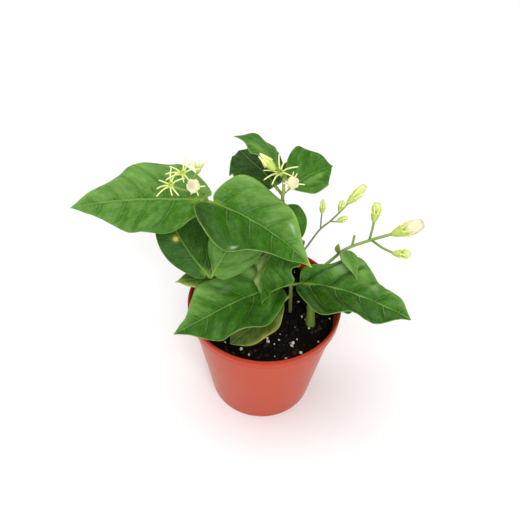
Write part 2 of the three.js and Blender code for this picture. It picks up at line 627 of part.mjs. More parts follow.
// Flower clusters and sprays: stalks and calyces grown as one, and the separate bud of each
// calyx that has one.
const CLUSTERS = {
  cluster_left: {
    stem: 'stem_left', node: [-41, 12.5, 177], radius: 0.85,
    peduncle: [[-43.3, 10, 181], [-45.5, 8.4, 185]],
    stalks: [
      [[-45.5, 8.4, 184.6], [-49, 12, 188], [-54, 13.5, 190.5]],
      [[-44.8, 9, 183.6], [-52, 7.5, 184], [-60, 7, 187]],
      [[-45.3, 8.5, 184.6], [-45, 5, 188.5], [-44.3, 1, 192.2]],
      [[-49, 12, 188], [-46.5, 15, 190.5], [-45, 17.5, 191]],
    ],
    calyces: [
      { from: [-54, 13.5, 190.5], to: [-55, 13, 195], lobes: 8, lobeLength: 9.5, spread: 82 },
      { from: [-60, 7, 187], to: [-62.5, 5.5, 191], lobes: 8, lobeLength: 9, spread: 82 },
      {
        from: [-44.3, 1, 192.2], to: [-45.8, -3, 196.7], lobes: 5, lobeLength: 4, spread: 85,
        bud: { name: 'bud_left', belly: 4.1, length: 11 },
      },
      { from: [-45, 17.5, 191], to: [-45.5, 22, 197], lobes: 7, lobeLength: 5.5, spread: 50 },
    ],
  },
  cluster_top: {
    stem: 'stem_middle', node: [8.8, 20, 190], radius: 0.85,
    peduncle: [[8.5, 18, 193], [7.5, 15, 195]],
    stalks: [
      [[7.5, 15, 194.8], [6, 12, 196]],
      [[7.7, 15.5, 194.6], [5, 12.5, 199], [1.1, 9.5, 203]],
      [[8, 16.5, 194], [10, 11, 192.8], [11.6, 7.6, 193]],
    ],
    calyces: [
      { from: [6, 12, 196], to: [4.5, 11, 200.5], lobes: 7, lobeLength: 9.5, spread: 80 },
      {
        from: [1.1, 9.5, 203], to: [-7.3, 15.5, 208], lobes: 6, lobeLength: 8, spread: -12,
        size: 1.4,
      },
      {
        from: [11.6, 7.6, 193], to: [13, 4.1, 196.5], lobes: 6, lobeLength: 7, spread: 45,
        bud: { name: 'bud_top', belly: 3.7, length: 10 },
      },
    ],
  },
  spray_upper: {
    stem: 'stem_middle', node: [15.5, 5, 119], radius: 0.65,
    peduncle: [[20, 9.5, 124.5], [25.8, 14.3, 130], [35.6, 25.7, 138], [42.1, 29.7, 142],
      [48.4, 34.8, 146], [54.5, 40.3, 150.6]],
    stalks: [
      [[35.6, 25.7, 138], [35.8, 30, 143], [36, 33, 147]],
      [[42.1, 29.7, 142], [45, 29.2, 142], [47.5, 29.8, 142.3]],
      [[47.6, 34.2, 145.5], [48, 35.5, 147.2]],
    ],
    calyces: [
      {
        from: [54.5, 40.3, 150.6], to: [65.5, 50.3, 158], lobes: 5, lobeLength: 7, spread: 14,
        size: 1.4, bud: { name: 'bud_upper_tip', belly: 3, length: 16 },
      },
      {
        from: [36, 33, 147], to: [36.5, 40, 154.5], lobes: 5, lobeLength: 4, spread: 8,
        bud: { name: 'bud_upper_left', belly: 1.5, length: 8.5 },
      },
      {
        from: [47.5, 29.8, 142.3], to: [54, 32.5, 143.5], lobes: 5, lobeLength: 3, spread: 10,
        bud: { name: 'bud_upper_low', belly: 1.6, length: 7 },
      },
      {
        from: [48, 35.5, 147.2], to: [49.6, 38.6, 151], lobes: 5, lobeLength: 3, spread: 12,
        bud: { name: 'bud_upper_middle', belly: 1.8, length: 7 },
      },
    ],
  },
  spray_right: {
    stem: 'stem_right', node: [31, 6, 107], radius: 1.1,
    peduncle: [[35, 13, 107.5], [46, 24, 110], [54.3, 26.6, 118], [71.7, 31, 124], [88, 32.8, 130]],
    stalks: [
      [[71, 31, 124], [73, 37, 131], [73.6, 40, 135]],
      [[59, 27.6, 119.9], [59.8, 30, 122.5], [60.6, 33, 126.5]],
      [[72.5, 31, 124.3], [80, 25, 123], [88, 20.6, 122.5]],
    ],
    calyces: [
      {
        from: [88, 32.8, 130], to: [106, 36, 137], lobes: 7, lobeLength: 8, spread: 30, size: 2,
        bud: { name: 'bud_right_open', belly: 5.1, length: 21 },
      },
      {
        from: [73.6, 40, 135], to: [75.5, 49, 144], lobes: 6, lobeLength: 5.5, spread: 10, size: 1.5,
        bud: { name: 'bud_right_upright', belly: 3.3, length: 12.5 },
      },
      {
        from: [88, 20.6, 122.5], to: [99, 20, 123], lobes: 5, lobeLength: 4, spread: 10, size: 1.35,
        bud: { name: 'bud_right_low', belly: 3.2, length: 11 },
      },
    ],
  },
};

function clusterGeometry(cluster) {
  const { stem, node, peduncle, radius, stalks, calyces } = cluster;
  const start = seatOn(STEMS[stem], node, peduncle[0], radius, SEAT_GAP);
  const axis = taperedTube([start.toArray(), ...peduncle], () => radius, 6, 3 * peduncle.length);
  const branches = stalks.map((route) => stalk(route, STALK_SHARE * radius));
  return fuse([axis, ...branches, ...calyces.flatMap(calyx)]);
}

// What leaves and bracts can sit on.
const CARRIERS = {
  ...STEMS,
  spray_right: {
    route: CLUSTERS.spray_right.peduncle,
    foot: CLUSTERS.spray_right.radius,
    top: CLUSTERS.spray_right.radius,
  },
};

function addPiece(group, name, geometry, material) {
  const mesh = new THREE.Mesh(geometry, material);
  mesh.name = name;
  group.add(mesh);
}

const group = new THREE.Group();
addPiece(group, 'pot', potGeometry(), TERRACOTTA);
addPiece(group, 'soil', soilGeometry(Object.values(STEMS).map(stemHole)), EARTH);
for (const [name, stem] of Object.entries(STEMS)) {
  addPiece(group, name, stemGeometry(stem), stem.material);
}
for (const [name, shape] of Object.entries(LEAVES)) {
  const leaf = { ...LEAF_DEFAULTS, ...shape };
  addPiece(group, name, leafGeometry(leaf), leaf.material);
}
for (const [name, cluster] of Object.entries(CLUSTERS)) {
  addPiece(group, name, clusterGeometry(cluster), CALYX_GREEN);
  for (const flower of cluster.calyces.filter(({ bud }) => bud)) {
    addPiece(group, flower.bud.name, budGeometry(flower), CREAM);
  }
}

export default group;
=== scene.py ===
"""Potted arabian jasmine: the fine model, its finishes and its stage, round the packed frame."""

import math
import random

import bmesh
import bpy
import numpy as np
from mathutils import Matrix, Vector, noise


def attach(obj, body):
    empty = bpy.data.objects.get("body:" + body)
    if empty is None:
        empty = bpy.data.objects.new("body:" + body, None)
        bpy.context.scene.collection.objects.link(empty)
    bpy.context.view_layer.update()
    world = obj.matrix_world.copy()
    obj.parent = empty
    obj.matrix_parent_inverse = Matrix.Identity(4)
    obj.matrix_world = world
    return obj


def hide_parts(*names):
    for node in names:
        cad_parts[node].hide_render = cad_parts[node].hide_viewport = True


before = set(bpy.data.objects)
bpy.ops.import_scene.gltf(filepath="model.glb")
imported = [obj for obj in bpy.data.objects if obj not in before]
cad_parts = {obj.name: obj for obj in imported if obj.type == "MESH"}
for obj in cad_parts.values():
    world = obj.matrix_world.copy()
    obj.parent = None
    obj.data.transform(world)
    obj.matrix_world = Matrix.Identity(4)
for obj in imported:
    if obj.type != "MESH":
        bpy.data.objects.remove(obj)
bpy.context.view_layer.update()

bl_info = {
    "name": "Potted Arabian Jasmine",
    "version": (1, 0, 0),
    "blender": (4, 5, 0),
    "location": "3D View > Sidebar > Jasmine",
    "description": "Builds a potted arabian jasmine round its packed frame",
    "category": "Object",
}

MM = 0.001
BODY = "root"
FULL_TURN = 2 * math.pi

# The camera's height and turn, and its focal length as a share of the sensor's width.
ELEVATION = math.radians(46.6)
ROLL = math.radians(2.44)
LENS = 756 / 520
SENSOR_WIDTH = 36

# Stems: foot and top radius, and points on the centre line from the buried foot up, in mm.
STEMS = {
    "stem_left": dict(
        finish="young_stem", foot=1.9, top=1.2,
        route=(
            (-18, 24, 71), (-18, 24, 80), (-26, 31, 104), (-38, 37, 132), (-43, 28, 153),
            (-40, 12.5, 171.5), (-41, 12.5, 177),
        ),
    ),
    "stem_short": dict(
        finish="young_stem", foot=1.7, top=1.3,
        route=(
            (-15, 18, 71), (-16, 18, 80), (-25, 20, 94), (-35, 16, 106), (-38, 5, 112.5),
            (-37.5, -1, 114),
        ),
    ),
    "stem_middle": dict(
        finish="thin_stem", foot=1.4, top=1,
        route=(
            (19, 0, 71), (18.5, 0, 80), (17.7, 0.5, 97), (17.3, 1.3, 108), (15.5, 5, 119),
            (13.5, 12, 140), (8.5, 22.5, 166), (8.5, 18, 176), (8.5, 21, 186), (8.8, 20, 190),
        ),
    ),
    "stem_right": dict(
        finish="young_stem", foot=4.2, top=1.4,
        route=((33, -11, 71), (32.6, -10.5, 80), (32, -6.5, 94), (31, 0, 102), (31, 6, 107)),
    ),
}

# Leaves: the stem and the point of it that carry the leaf, its tip, and how its blade is shaped.
LEAF_DEFAULTS = dict(
    width=44, arch=4, sweep=0, roll=0, fold=12, cup=15, left=1, right=1, peak=0.4, blunt=0.58,
    point=1.3, wave=2.5, waves=2.3, left_phase=0.2, right_phase=0.7, skew=0, curl=0, petiole=6,
    back_left=0, back_right=0, finish="glossy_leaf",
)

LEAVES = {
    "leaf_left": dict(
        stem="stem_left", node=(-40, 12.5, 171.5), tip=(-131, 20, 153), width=52, roll=26,
        arch=-3.5, sweep=-4.5, fold=-2, cup=28, left=0.87, right=1.22, blunt=0.8, point=1.08,
        wave=4.2, waves=2.65, left_phase=0.13, right_phase=0.8, skew=-0.25, petiole=3, back_left=12,
        back_right=9,
    ),
    "leaf_centre": dict(
        stem="stem_left", node=(-40, 12.5, 171.5), tip=(27, -30, 160), width=53, roll=-14, arch=3,
        sweep=3.5, fold=22, cup=6, left=0.92, right=1.16, peak=0.31, blunt=0.95, point=1.15,
        wave=5.4, waves=1.85, left_phase=0.02, right_phase=0.07, curl=1.2, petiole=3, back_left=3,
        back_right=11,
    ),
    "leaf_back_left": dict(
        stem="stem_short", node=(-37.5, -1, 114), tip=(-75, 42, 147), width=32, roll=12, arch=3.5,
        sweep=4, fold=7, cup=34, left=0.94, right=1.29, peak=0.47, blunt=0.46, point=1.4, wave=1.8,
        waves=2.1, left_phase=0.07, right_phase=0.58, skew=0.2, petiole=1, back_left=1,
        back_right=-1.6, finish="dark_leaf",
    ),
    "leaf_back_middle": dict(
        stem="stem_short", node=(-37.5, -1, 114), tip=(-10, 47, 145), width=38, roll=-6, arch=6,
        sweep=-3, fold=10, cup=20, left=0.87, right=1.18, peak=0.48, blunt=0.43, wave=1.7,
        left_phase=0.63, right_phase=0.1, petiole=1, back_left=-4.8, back_right=1,
        finish="dark_leaf",
    ),
    "leaf_front_left": dict(
        stem="stem_middle", node=(17.3, 1.3, 108), tip=(-59, -35, 90), width=52, arch=8, sweep=0.7,
        fold=14, cup=13, left=1.08, right=1.03, blunt=0.48, point=1.08, wave=4.8, waves=2.2,
        right_phase=0.8, skew=0.2, curl=-4,
    ),
    "leaf_hanging": dict(
        stem="stem_middle", node=(13.5, 12, 140), tip=(-1, -23, 114), width=47, roll=-46, arch=9,
        sweep=2, fold=-2, cup=28, left=1.12, right=1.1, peak=0.38, blunt=0.5, point=1.45, wave=4,
        waves=2.6, left_phase=0.3, right_phase=0.4, skew=0.15, curl=-1, petiole=5, back_right=8,
        finish="dark_leaf",
    ),
    "leaf_right": dict(
        stem="stem_middle", node=(17.3, 1.3, 108), tip=(98.5, -21, 102), width=53, roll=5, arch=7.5,
        fold=15, cup=13, left=1.05, peak=0.36, blunt=0.55, point=0.9, wave=5, waves=2.1,
        left_phase=0.35, right_phase=0.22, skew=0.3, petiole=4, back_left=2,
    ),
    "leaf_top_small": dict(
        stem="stem_middle", node=(8.5, 21, 186), tip=(-25, 37, 202.5), width=23, roll=-13, arch=5.5,
        sweep=-3, fold=9, cup=18, peak=0.45, wave=1.3, waves=2.2, left_phase=0.43,
        skew=-0.35, curl=-2,
    ),
    "leaf_top_back": dict(
        stem="stem_middle", node=(8.5, 19.5, 172), tip=(-21.5, 54, 177), width=41, roll=-3, arch=5,
        sweep=1.5, fold=8, cup=19, left=1.02, peak=0.38, point=0.75, wave=3.8, waves=2.7,
        left_phase=0, right_phase=0.72, curl=-3, finish="dark_leaf",
    ),
    "leaf_top_right": dict(
        stem="stem_middle", node=(8.5, 18, 176), tip=(40, 40, 181), width=35, roll=-25, sweep=1.2,
        fold=20, cup=9, left=1.1, right=0.82, peak=0.45, wave=2.8, waves=2.2,
        left_phase=0.34, right_phase=0.16, curl=-1, petiole=4, finish="dark_leaf",
    ),
    "leaf_behind_centre": dict(
        stem="stem_middle", node=(8.5, 22.5, 166), tip=(18.5, -1, 143), width=25.5, roll=-23,
        arch=7, left=0.98, peak=0.36, blunt=0.45, wave=1.3, left_phase=0.94, right_phase=0,
        petiole=3, finish="dark_leaf",
    ),
    "leaf_low_left": dict(
        stem="stem_short", node=(-25, 20, 94), tip=(-61, -4, 111), width=24, roll=6, arch=2,
        right=0.9, fold=0, cup=10, wave=1.7, left_phase=0.68, right_phase=0.15, petiole=8,
        finish="dark_leaf",
    ),
    "leaf_old_yellow": dict(
        stem="stem_middle", node=(17.7, 0.5, 97), tip=(-22, -34, 84), width=36, roll=-3, arch=2,
        sweep=2, fold=11, left=0.8, peak=0.52, blunt=0.62, point=0.85, wave=2, waves=2.2,
        left_phase=0, right_phase=0.3, finish="yellow_leaf",
    ),
    "leaf_low_back": dict(
        stem="stem_left", node=(-26, 31, 104), tip=(-24, 84, 96), width=36, arch=8, wave=2,
        finish="dark_leaf",
    ),
    "leaf_low_middle": dict(
        stem="stem_middle", node=(15.5, 5, 119), tip=(4, 62, 99), width=34, arch=5, left=1.4,
        wave=2.2, finish="dark_leaf",
    ),
    "leaf_middle_back": dict(
        stem="stem_middle", node=(13.5, 12, 140), tip=(10, 50, 120), width=26, arch=3, wave=1.6,
        finish="dark_leaf",
    ),
    "leaf_low_right": dict(
        stem="stem_right", node=(32, -6.5, 94), tip=(69, 5, 89), width=26, wave=1.6,
        finish="dark_leaf",
    ),
    "leaf_spray_large": dict(
        stem="spray_right", node=(54.3, 26.6, 118), tip=(61, -3, 120), width=12, arch=5, fold=10,
        left=0.75, right=1.2, wave=0.4, petiole=1.5,
    ),
    "leaf_spray_small": dict(
        stem="spray_right", node=(51.2, 25.7, 115.1), tip=(48.8, 22.4, 127.5), width=4.4, roll=180,
        arch=1, fold=10, blunt=0.45, point=0.6, wave=0.2, petiole=1,
    ),
}

# Flower clusters and sprays: their stalks, calyces and buds, in mm. Dull ones are greyer.
CLUSTERS = {
    "cluster_left": dict(
        stem="stem_left", node=(-41, 12.5, 177), radius=0.85,
        peduncle=((-43.3, 10, 181), (-45.5, 8.4, 185)),
        stalks=(
            ((-45.5, 8.4, 184.6), (-49, 12, 188), (-54, 13.5, 190.5)),
            ((-44.8, 9, 183.6), (-52, 7.5, 184), (-60, 7, 187)),
            ((-45.3, 8.5, 184.6), (-45, 5, 188.5), (-44.3, 1, 192.2)),
            ((-49, 12, 188), (-46.5, 15, 190.5), (-45, 17.5, 191)),
        ),
        calyces=(
            dict(start=(-54, 13.5, 190.5), end=(-55, 13, 195), lobes=8, lobe_length=9.5, spread=82),
            dict(start=(-60, 7, 187), end=(-62.5, 5.5, 191), lobes=8, lobe_length=9, spread=82),
            dict(
                start=(-44.3, 1, 192.2), end=(-45.8, -3, 196.7), lobes=5, lobe_length=4, spread=85,
                bud=dict(name="bud_left", belly=4.1, length=11),
            ),
            dict(start=(-45, 17.5, 191), end=(-45.5, 22, 197), lobes=7, lobe_length=5.5, spread=50),
        ),
    ),
    "cluster_top": dict(
        stem="stem_middle", node=(8.8, 20, 190), radius=0.85,
        peduncle=((8.5, 18, 193), (7.5, 15, 195)),
        stalks=(
            ((7.5, 15, 194.8), (6, 12, 196)), ((7.7, 15.5, 194.6), (5, 12.5, 199), (1.1, 9.5, 203)),
            ((8, 16.5, 194), (10, 11, 192.8), (11.6, 7.6, 193)),
        ),
        calyces=(
            dict(start=(6, 12, 196), end=(4.5, 11, 200.5), lobes=7, lobe_length=9.5, spread=80),
            dict(
                start=(1.1, 9.5, 203), end=(-7.3, 15.5, 208), lobes=6, lobe_length=8, spread=-12,
                size=1.4,
            ),
            dict(
                start=(11.6, 7.6, 193), end=(13, 4.1, 196.5), lobes=6, lobe_length=7, spread=45,
                bud=dict(name="bud_top", belly=3.7, length=10),
            ),
        ),
    ),
    "spray_upper": dict(
        stem="stem_middle", node=(15.5, 5, 119), radius=0.65, dull=1,
        peduncle=(
            (20, 9.5, 124.5), (25.8, 14.3, 130), (35.6, 25.7, 138), (42.1, 29.7, 142),
            (48.4, 34.8, 146), (54.5, 40.3, 150.6),
        ),
        stalks=(
            ((35.6, 25.7, 138), (35.8, 30, 143), (36, 33, 147)),
            ((42.1, 29.7, 142), (45, 29.2, 142), (47.5, 29.8, 142.3)),
            ((47.6, 34.2, 145.5), (48, 35.5, 147.2)),
        ),
        calyces=(
            dict(
                start=(54.5, 40.3, 150.6), end=(65.5, 50.3, 158), lobes=5, lobe_length=7, spread=14,
                size=1.4, bud=dict(name="bud_upper_tip", belly=3, length=16),
            ),
            dict(
                start=(36, 33, 147), end=(36.5, 40, 154.5), lobes=5, lobe_length=4, spread=8,
                bud=dict(name="bud_upper_left", belly=1.5, length=8.5),
            ),
            dict(
                start=(47.5, 29.8, 142.3), end=(54, 32.5, 143.5), lobes=5, lobe_length=3, spread=10,
                bud=dict(name="bud_upper_low", belly=1.6, length=7),
            ),
            dict(
                start=(48, 35.5, 147.2), end=(49.6, 38.6, 151), lobes=5, lobe_length=3, spread=12,
                bud=dict(name="bud_upper_middle", belly=1.8, length=7),
            ),
        ),
    ),
    "spray_right": dict(
        stem="stem_right", node=(31, 6, 107), radius=1.1,
        peduncle=(
            (35, 13, 107.5), (46, 24, 110), (54.3, 26.6, 118), (71.7, 31, 124), (88, 32.8, 130),
        ),
        stalks=(
            ((71, 31, 124), (73, 37, 131), (73.6, 40, 135)),
            ((59, 27.6, 119.9), (59.8, 30, 122.5), (60.6, 33, 126.5)),
            ((72.5, 31, 124.3), (80, 25, 123), (88, 20.6, 122.5)),
        ),
        calyces=(
            dict(
                start=(88, 32.8, 130), end=(106, 36, 137), lobes=7, lobe_length=8, spread=30,
                size=2, bud=dict(name="bud_right_open", belly=5.1, length=21),
            ),
            dict(
                start=(73.6, 40, 135), end=(75.5, 49, 144), lobes=6, lobe_length=5.5, spread=10,
                size=1.5, bud=dict(name="bud_right_upright", belly=3.3, length=12.5),
            ),
            dict(
                start=(88, 20.6, 122.5), end=(99, 20, 123), lobes=5, lobe_length=4, spread=10,
                size=1.35, bud=dict(name="bud_right_low", belly=3.2, length=11),
            ),
        ),
    ),
}


def paint(code):
    """A colour as on a paint card, "#rrggbb", turned into linear red, green and blue."""
    values = [int(code[i : i + 2], 16) / 255 for i in (1, 3, 5)]
    return tuple(v / 12.92 if v <= 0.04045 else ((v + 0.055) / 1.055) ** 2.4 for v in values)


def mix(a, b, k):
    return a + (b - a) * k


def unit(vectors):
    return vectors / np.linalg.norm(vectors, axis=-1, keepdims=True)


def three(x, y, z):
    """Three values, single or one for each point, side by side."""
    return np.stack(np.broadcast_arrays(x, y, z), axis=-1)


# What a user would change.


def length_setting(name, description, size):
    """A length that a user can change, given in mm."""
    return bpy.props.FloatProperty(
        name=name, description=description, default=size * MM, unit="LENGTH"
    )


def colour_setting(name, description, code):
    """A colour that a user can change."""
    return bpy.props.FloatVectorProperty(
        name=name, description=description, default=paint(code), subtype="COLOR"
    )


class PotSettings(bpy.types.PropertyGroup):
    """Sizes and colours of the nursery pot."""

    rim_radius: length_setting("Rim Radius", "Outside radius of the lip", 54)
    height: length_setting("Height", "Height of the pot", 91.5)
    floor_radius: length_setting("Floor Radius", "Outside radius of the bottom", 37.5)
    wall: length_setting("Wall", "Thickness of the wall", 1.3)
    colour: colour_setting("Plastic", "Colour of the plastic", "#b83a12")
    lip_colour: colour_setting("Lip", "Colour of the thin lip", "#a92c12")


class SoilSettings(bpy.types.PropertyGroup):
    """Height and make-up of the potting soil."""

    top: length_setting("Top", "Mean height of the surface", 81)
    crumbs: bpy.props.IntProperty(
        name="Crumbs", description="Number of loose crumbs", default=1100, min=0, max=4000
    )
    grains: bpy.props.IntProperty(
        name="Perlite", description="Number of white perlite grains", default=55, min=0, max=400
    )
    colour: colour_setting("Soil", "Colour of the damp soil", "#0d0906")


class LeafSettings(bpy.types.PropertyGroup):
    """Thickness, veins and colours of the leaves."""

    margin: length_setting("Margin", "Blade thickness at the margin", 0.5)
    vein_spacing: length_setting("Vein Spacing", "From side vein to side vein on large leaves", 17)
    quilting: length_setting("Quilting", "How far the blade swells between its side veins", 0.9)
    light: colour_setting("Light Green", "Brightest parts of the upper faces", "#76a24b")
    middle: colour_setting("Middle Green", "Most of the upper faces", "#326907")
    deep: colour_setting("Deep Green", "Darkest parts of the upper faces", "#163005")
    vein: colour_setting("Veins", "Midribs and side veins", "#76a344")
    # A pale line painted round each blade as a highlight on its edge.
    edge_highlight: colour_setting("Margins", "Thin pale line round each blade", "#8ab04a")


class FlowerSettings(bpy.types.PropertyGroup):
    """Colours of the flower stalks, calyces and petals."""

    stalk: colour_setting("Stalk", "Flower stalks", "#7f9e38")
    calyx: colour_setting("Calyx", "Calyx cups and lobes", "#cbdb68")
    petal: colour_setting("Petal", "Buds and petals", "#ece5b8")


class StageSettings(bpy.types.PropertyGroup):
    """Camera, floor and lamps."""

    elevation: bpy.props.FloatProperty(
        name="Elevation", description="Camera's height above the horizon",
        default=ELEVATION, subtype="ANGLE",
    )
    roll: bpy.props.FloatProperty(
        name="Roll", description="Camera's turn about its line of sight",
        default=ROLL, subtype="ANGLE",
    )
    distance: length_setting("Distance", "From the camera to the plant's middle", 500)
    lens: bpy.props.FloatProperty(
        name="Lens", description="Focal length in mm", default=LENS * SENSOR_WIDTH
    )
    floor_colour: colour_setting("Floor", "Pale studio floor", "#f7f7f7")


# Finishes.


class Shade:
    """A shader socket that takes part in sums: each operation adds its Math node."""

    def __init__(self, finish, socket):
        self.finish = finish
        self.socket = socket

    def math(self, operation, *values):
        inputs = dict(enumerate((self, *values)))
        return self.finish.node("ShaderNodeMath", {"operation": operation}, inputs)

    def __add__(self, other):
        return self.math("ADD", other)

    def __sub__(self, other):
        return self.math("SUBTRACT", other)

    def __rsub__(self, other):
        return self.math("MULTIPLY", -1.0).math("ADD", other)

    def __mul__(self, other):
        return self.math("MULTIPLY", other)

    def __abs__(self):
        return self.math("ABSOLUTE")

    __radd__ = __add__
    __rmul__ = __mul__

    def near(self, low, high):
        """1 where the value is at or below low, falling smoothly to 0 at high."""
        return self.finish.node(
            "ShaderNodeMapRange", {"interpolation_type": "SMOOTHSTEP"},
            {"Value": self, "From Min": low, "From Max": high, "To Min": 1.0, "To Max": 0.0},
        )


class Finish:
    """A material under construction, with the nodes that its looks are worked out by."""

    def __init__(self, name):
        self.material = bpy.data.materials.new("finish_" + name)
        self.material.use_nodes = True
        self.tree = self.material.node_tree
        self.tree.nodes.clear()
        self.surface = self.tree.nodes.new("ShaderNodeBsdfPrincipled")
        output = self.tree.nodes.new("ShaderNodeOutputMaterial")
        self.tree.links.new(self.surface.outputs["BSDF"], output.inputs["Surface"])

    def plug(self, socket, value):
        """Links a socket or sets it; a colour may be given as on a paint card."""
        if isinstance(value, Shade):
            self.tree.links.new(value.socket, socket)
        elif socket.type == "RGBA":
            socket.default_value = (*(paint(value) if isinstance(value, str) else value), 1.0)
        else:
            socket.default_value = value

    def node(self, kind, settings=None, inputs=None, output=0):
        """Adds a node: first its settings, then the values or links of its sockets."""
        node = self.tree.nodes.new(kind)
        for name, value in (settings or {}).items():
            setattr(node, name, value)
        for name, value in (inputs or {}).items():
            self.plug(node.inputs[name], value)
        return Shade(self, node.outputs[output])

    def coats(self, colour, *coats):
        """A colour with others laid over it, each with its amount from 0 to 1."""
        settings = {"data_type": "RGBA", "clamp_factor": True}
        for over, amount in coats:
            colour = self.node("ShaderNodeMix", settings, {0: amount, 6: colour, 7: over}, output=2)
        return colour

    def field(self, name):
        """The three numbers that the mesh keeps under this name at each point."""
        vector = self.node("ShaderNodeAttribute", {"attribute_name": name}, output="Vector")
        return self.split(vector)

    def split(self, vector):
        parts = self.node("ShaderNodeSeparateXYZ", inputs={0: vector}).socket.node
        return [Shade(self, parts.outputs[i]) for i in range(3)]

    def place(self):
        """The point on the object, in metres."""
        return self.node("ShaderNodeTexCoord", output="Object")

    def drawn_out(self, vector, share):
        """A place whose patterns are drawn out along Z."""
        return self.node("ShaderNodeMapping", inputs={"Vector": vector, "Scale": (1.0, 1.0, share)})

    def noise(self, vector, scale, detail=3.0, roughness=0.55):
        inputs = {"Vector": vector, "Scale": scale, "Detail": detail, "Roughness": roughness}
        return self.node("ShaderNodeTexNoise", inputs=inputs)

    def bump(self, height, depth, strength):
        """A normal from a height; depth is what a height of 1 stands for, in metres."""
        inputs = {"Height": height, "Distance": depth, "Strength": strength}
        return self.node("ShaderNodeBump", inputs=inputs)

    def wear(self, **sockets):
        """Sets the surface's own sockets, by their names in lower case."""
        for name, value in sockets.items():
            title = name.replace("_", " ").title().replace("Ior", "IOR")
            self.plug(self.surface.inputs[title], value)
        return self.material


def plastic_finish(settings):
    """Moulded terracotta-orange plastic, brighter and redder at the thin lip, a little chalky."""
    f = Finish("terracotta_plastic")
    place = f.place()
    height = f.split(place)[2]
    cloud = f.noise(place, 28.0, detail=4.0)
    grain = f.noise(place, 2200.0, detail=2.0)
    streaks = f.noise(f.drawn_out(place, 0.12), 160.0, detail=2.0)
    lip = 1 - height.near(settings.height - 2.6 * MM, settings.height - 1.2 * MM)
    dust = height.near(2 * MM, 16 * MM) * (cloud - 0.3)
    colour = f.coats(
        settings.colour,
        ("#c24c1a", (cloud - 0.35) * 0.5),
        ("#a8371a", (streaks - 0.5) * 0.35),
        (settings.lip_colour, lip * 0.9),
        ("#8a5a44", dust * 0.25),
    )
    return f.wear(
        base_color=colour,
        roughness=0.4 + (cloud - 0.5) * 0.16,
        normal=f.bump(grain * 0.35 + streaks * 0.4 + cloud, 0.12 * MM, 0.5),
        specular_ior_level=0.24,
        sheen_weight=0.12,
        sheen_roughness=0.22,
    )


def soil_finish(settings):
    """Damp dark soil with brown fibres in it."""
    f = Finish("soil")
    place = f.place()
    lumps = f.noise(place, 260.0, detail=5.0, roughness=0.65)
    fine = f.noise(place, 1100.0, detail=3.0, roughness=0.7)
    tone = f.field("tone")[0]
    colour = f.coats(
        settings.colour,
        ("#060403", (lumps - 0.4) * 2.2),
        ("#5e4336", tone * (0.35 + fine * 0.5)),
        ("#2c211c", (fine - 0.55) * 2.0),
    )
    return f.wear(
        base_color=colour,
        roughness=0.95 - (lumps - 0.5) * 0.5,
        specular_ior_level=0.15,
        normal=f.bump(lumps + fine * 0.5, 0.9 * MM, 0.9),
    )


def perlite_finish():
    """Puffed white perlite, dusty and pitted."""
    f = Finish("perlite")
    place = f.place()
    pits = f.node("ShaderNodeTexVoronoi", inputs={"Vector": place, "Scale": 1300.0})
    dust = f.noise(place, 420.0, detail=4.0)
    colour = f.coats("#d9cfc6", ("#8b7c70", (dust - 0.5) * 1.6))
    return f.wear(base_color=colour, roughness=0.9, normal=f.bump(pits + dust, 0.35 * MM, 0.8))


def bark_finish(name, low, high):
    """Young bark that goes from one colour at the soil to another at the top."""
    f = Finish(name)
    place = f.place()
    along = f.field("along")[0]
    streak = f.noise(f.drawn_out(place, 0.18), 900.0, detail=4.0)
    cork = f.noise(place, 420.0, detail=3.0)
    colour = f.coats(
        low,
        (high, along + (streak - 0.5) * 0.5),
        ("#5d4c2c", (cork - 0.58) * 2.5 * (1 - along)),
    )
    return f.wear(
        base_color=colour,
        roughness=0.5 + (streak - 0.5) * 0.3,
        normal=f.bump(streak + cork * 0.5, 0.25 * MM, 0.6),
    )


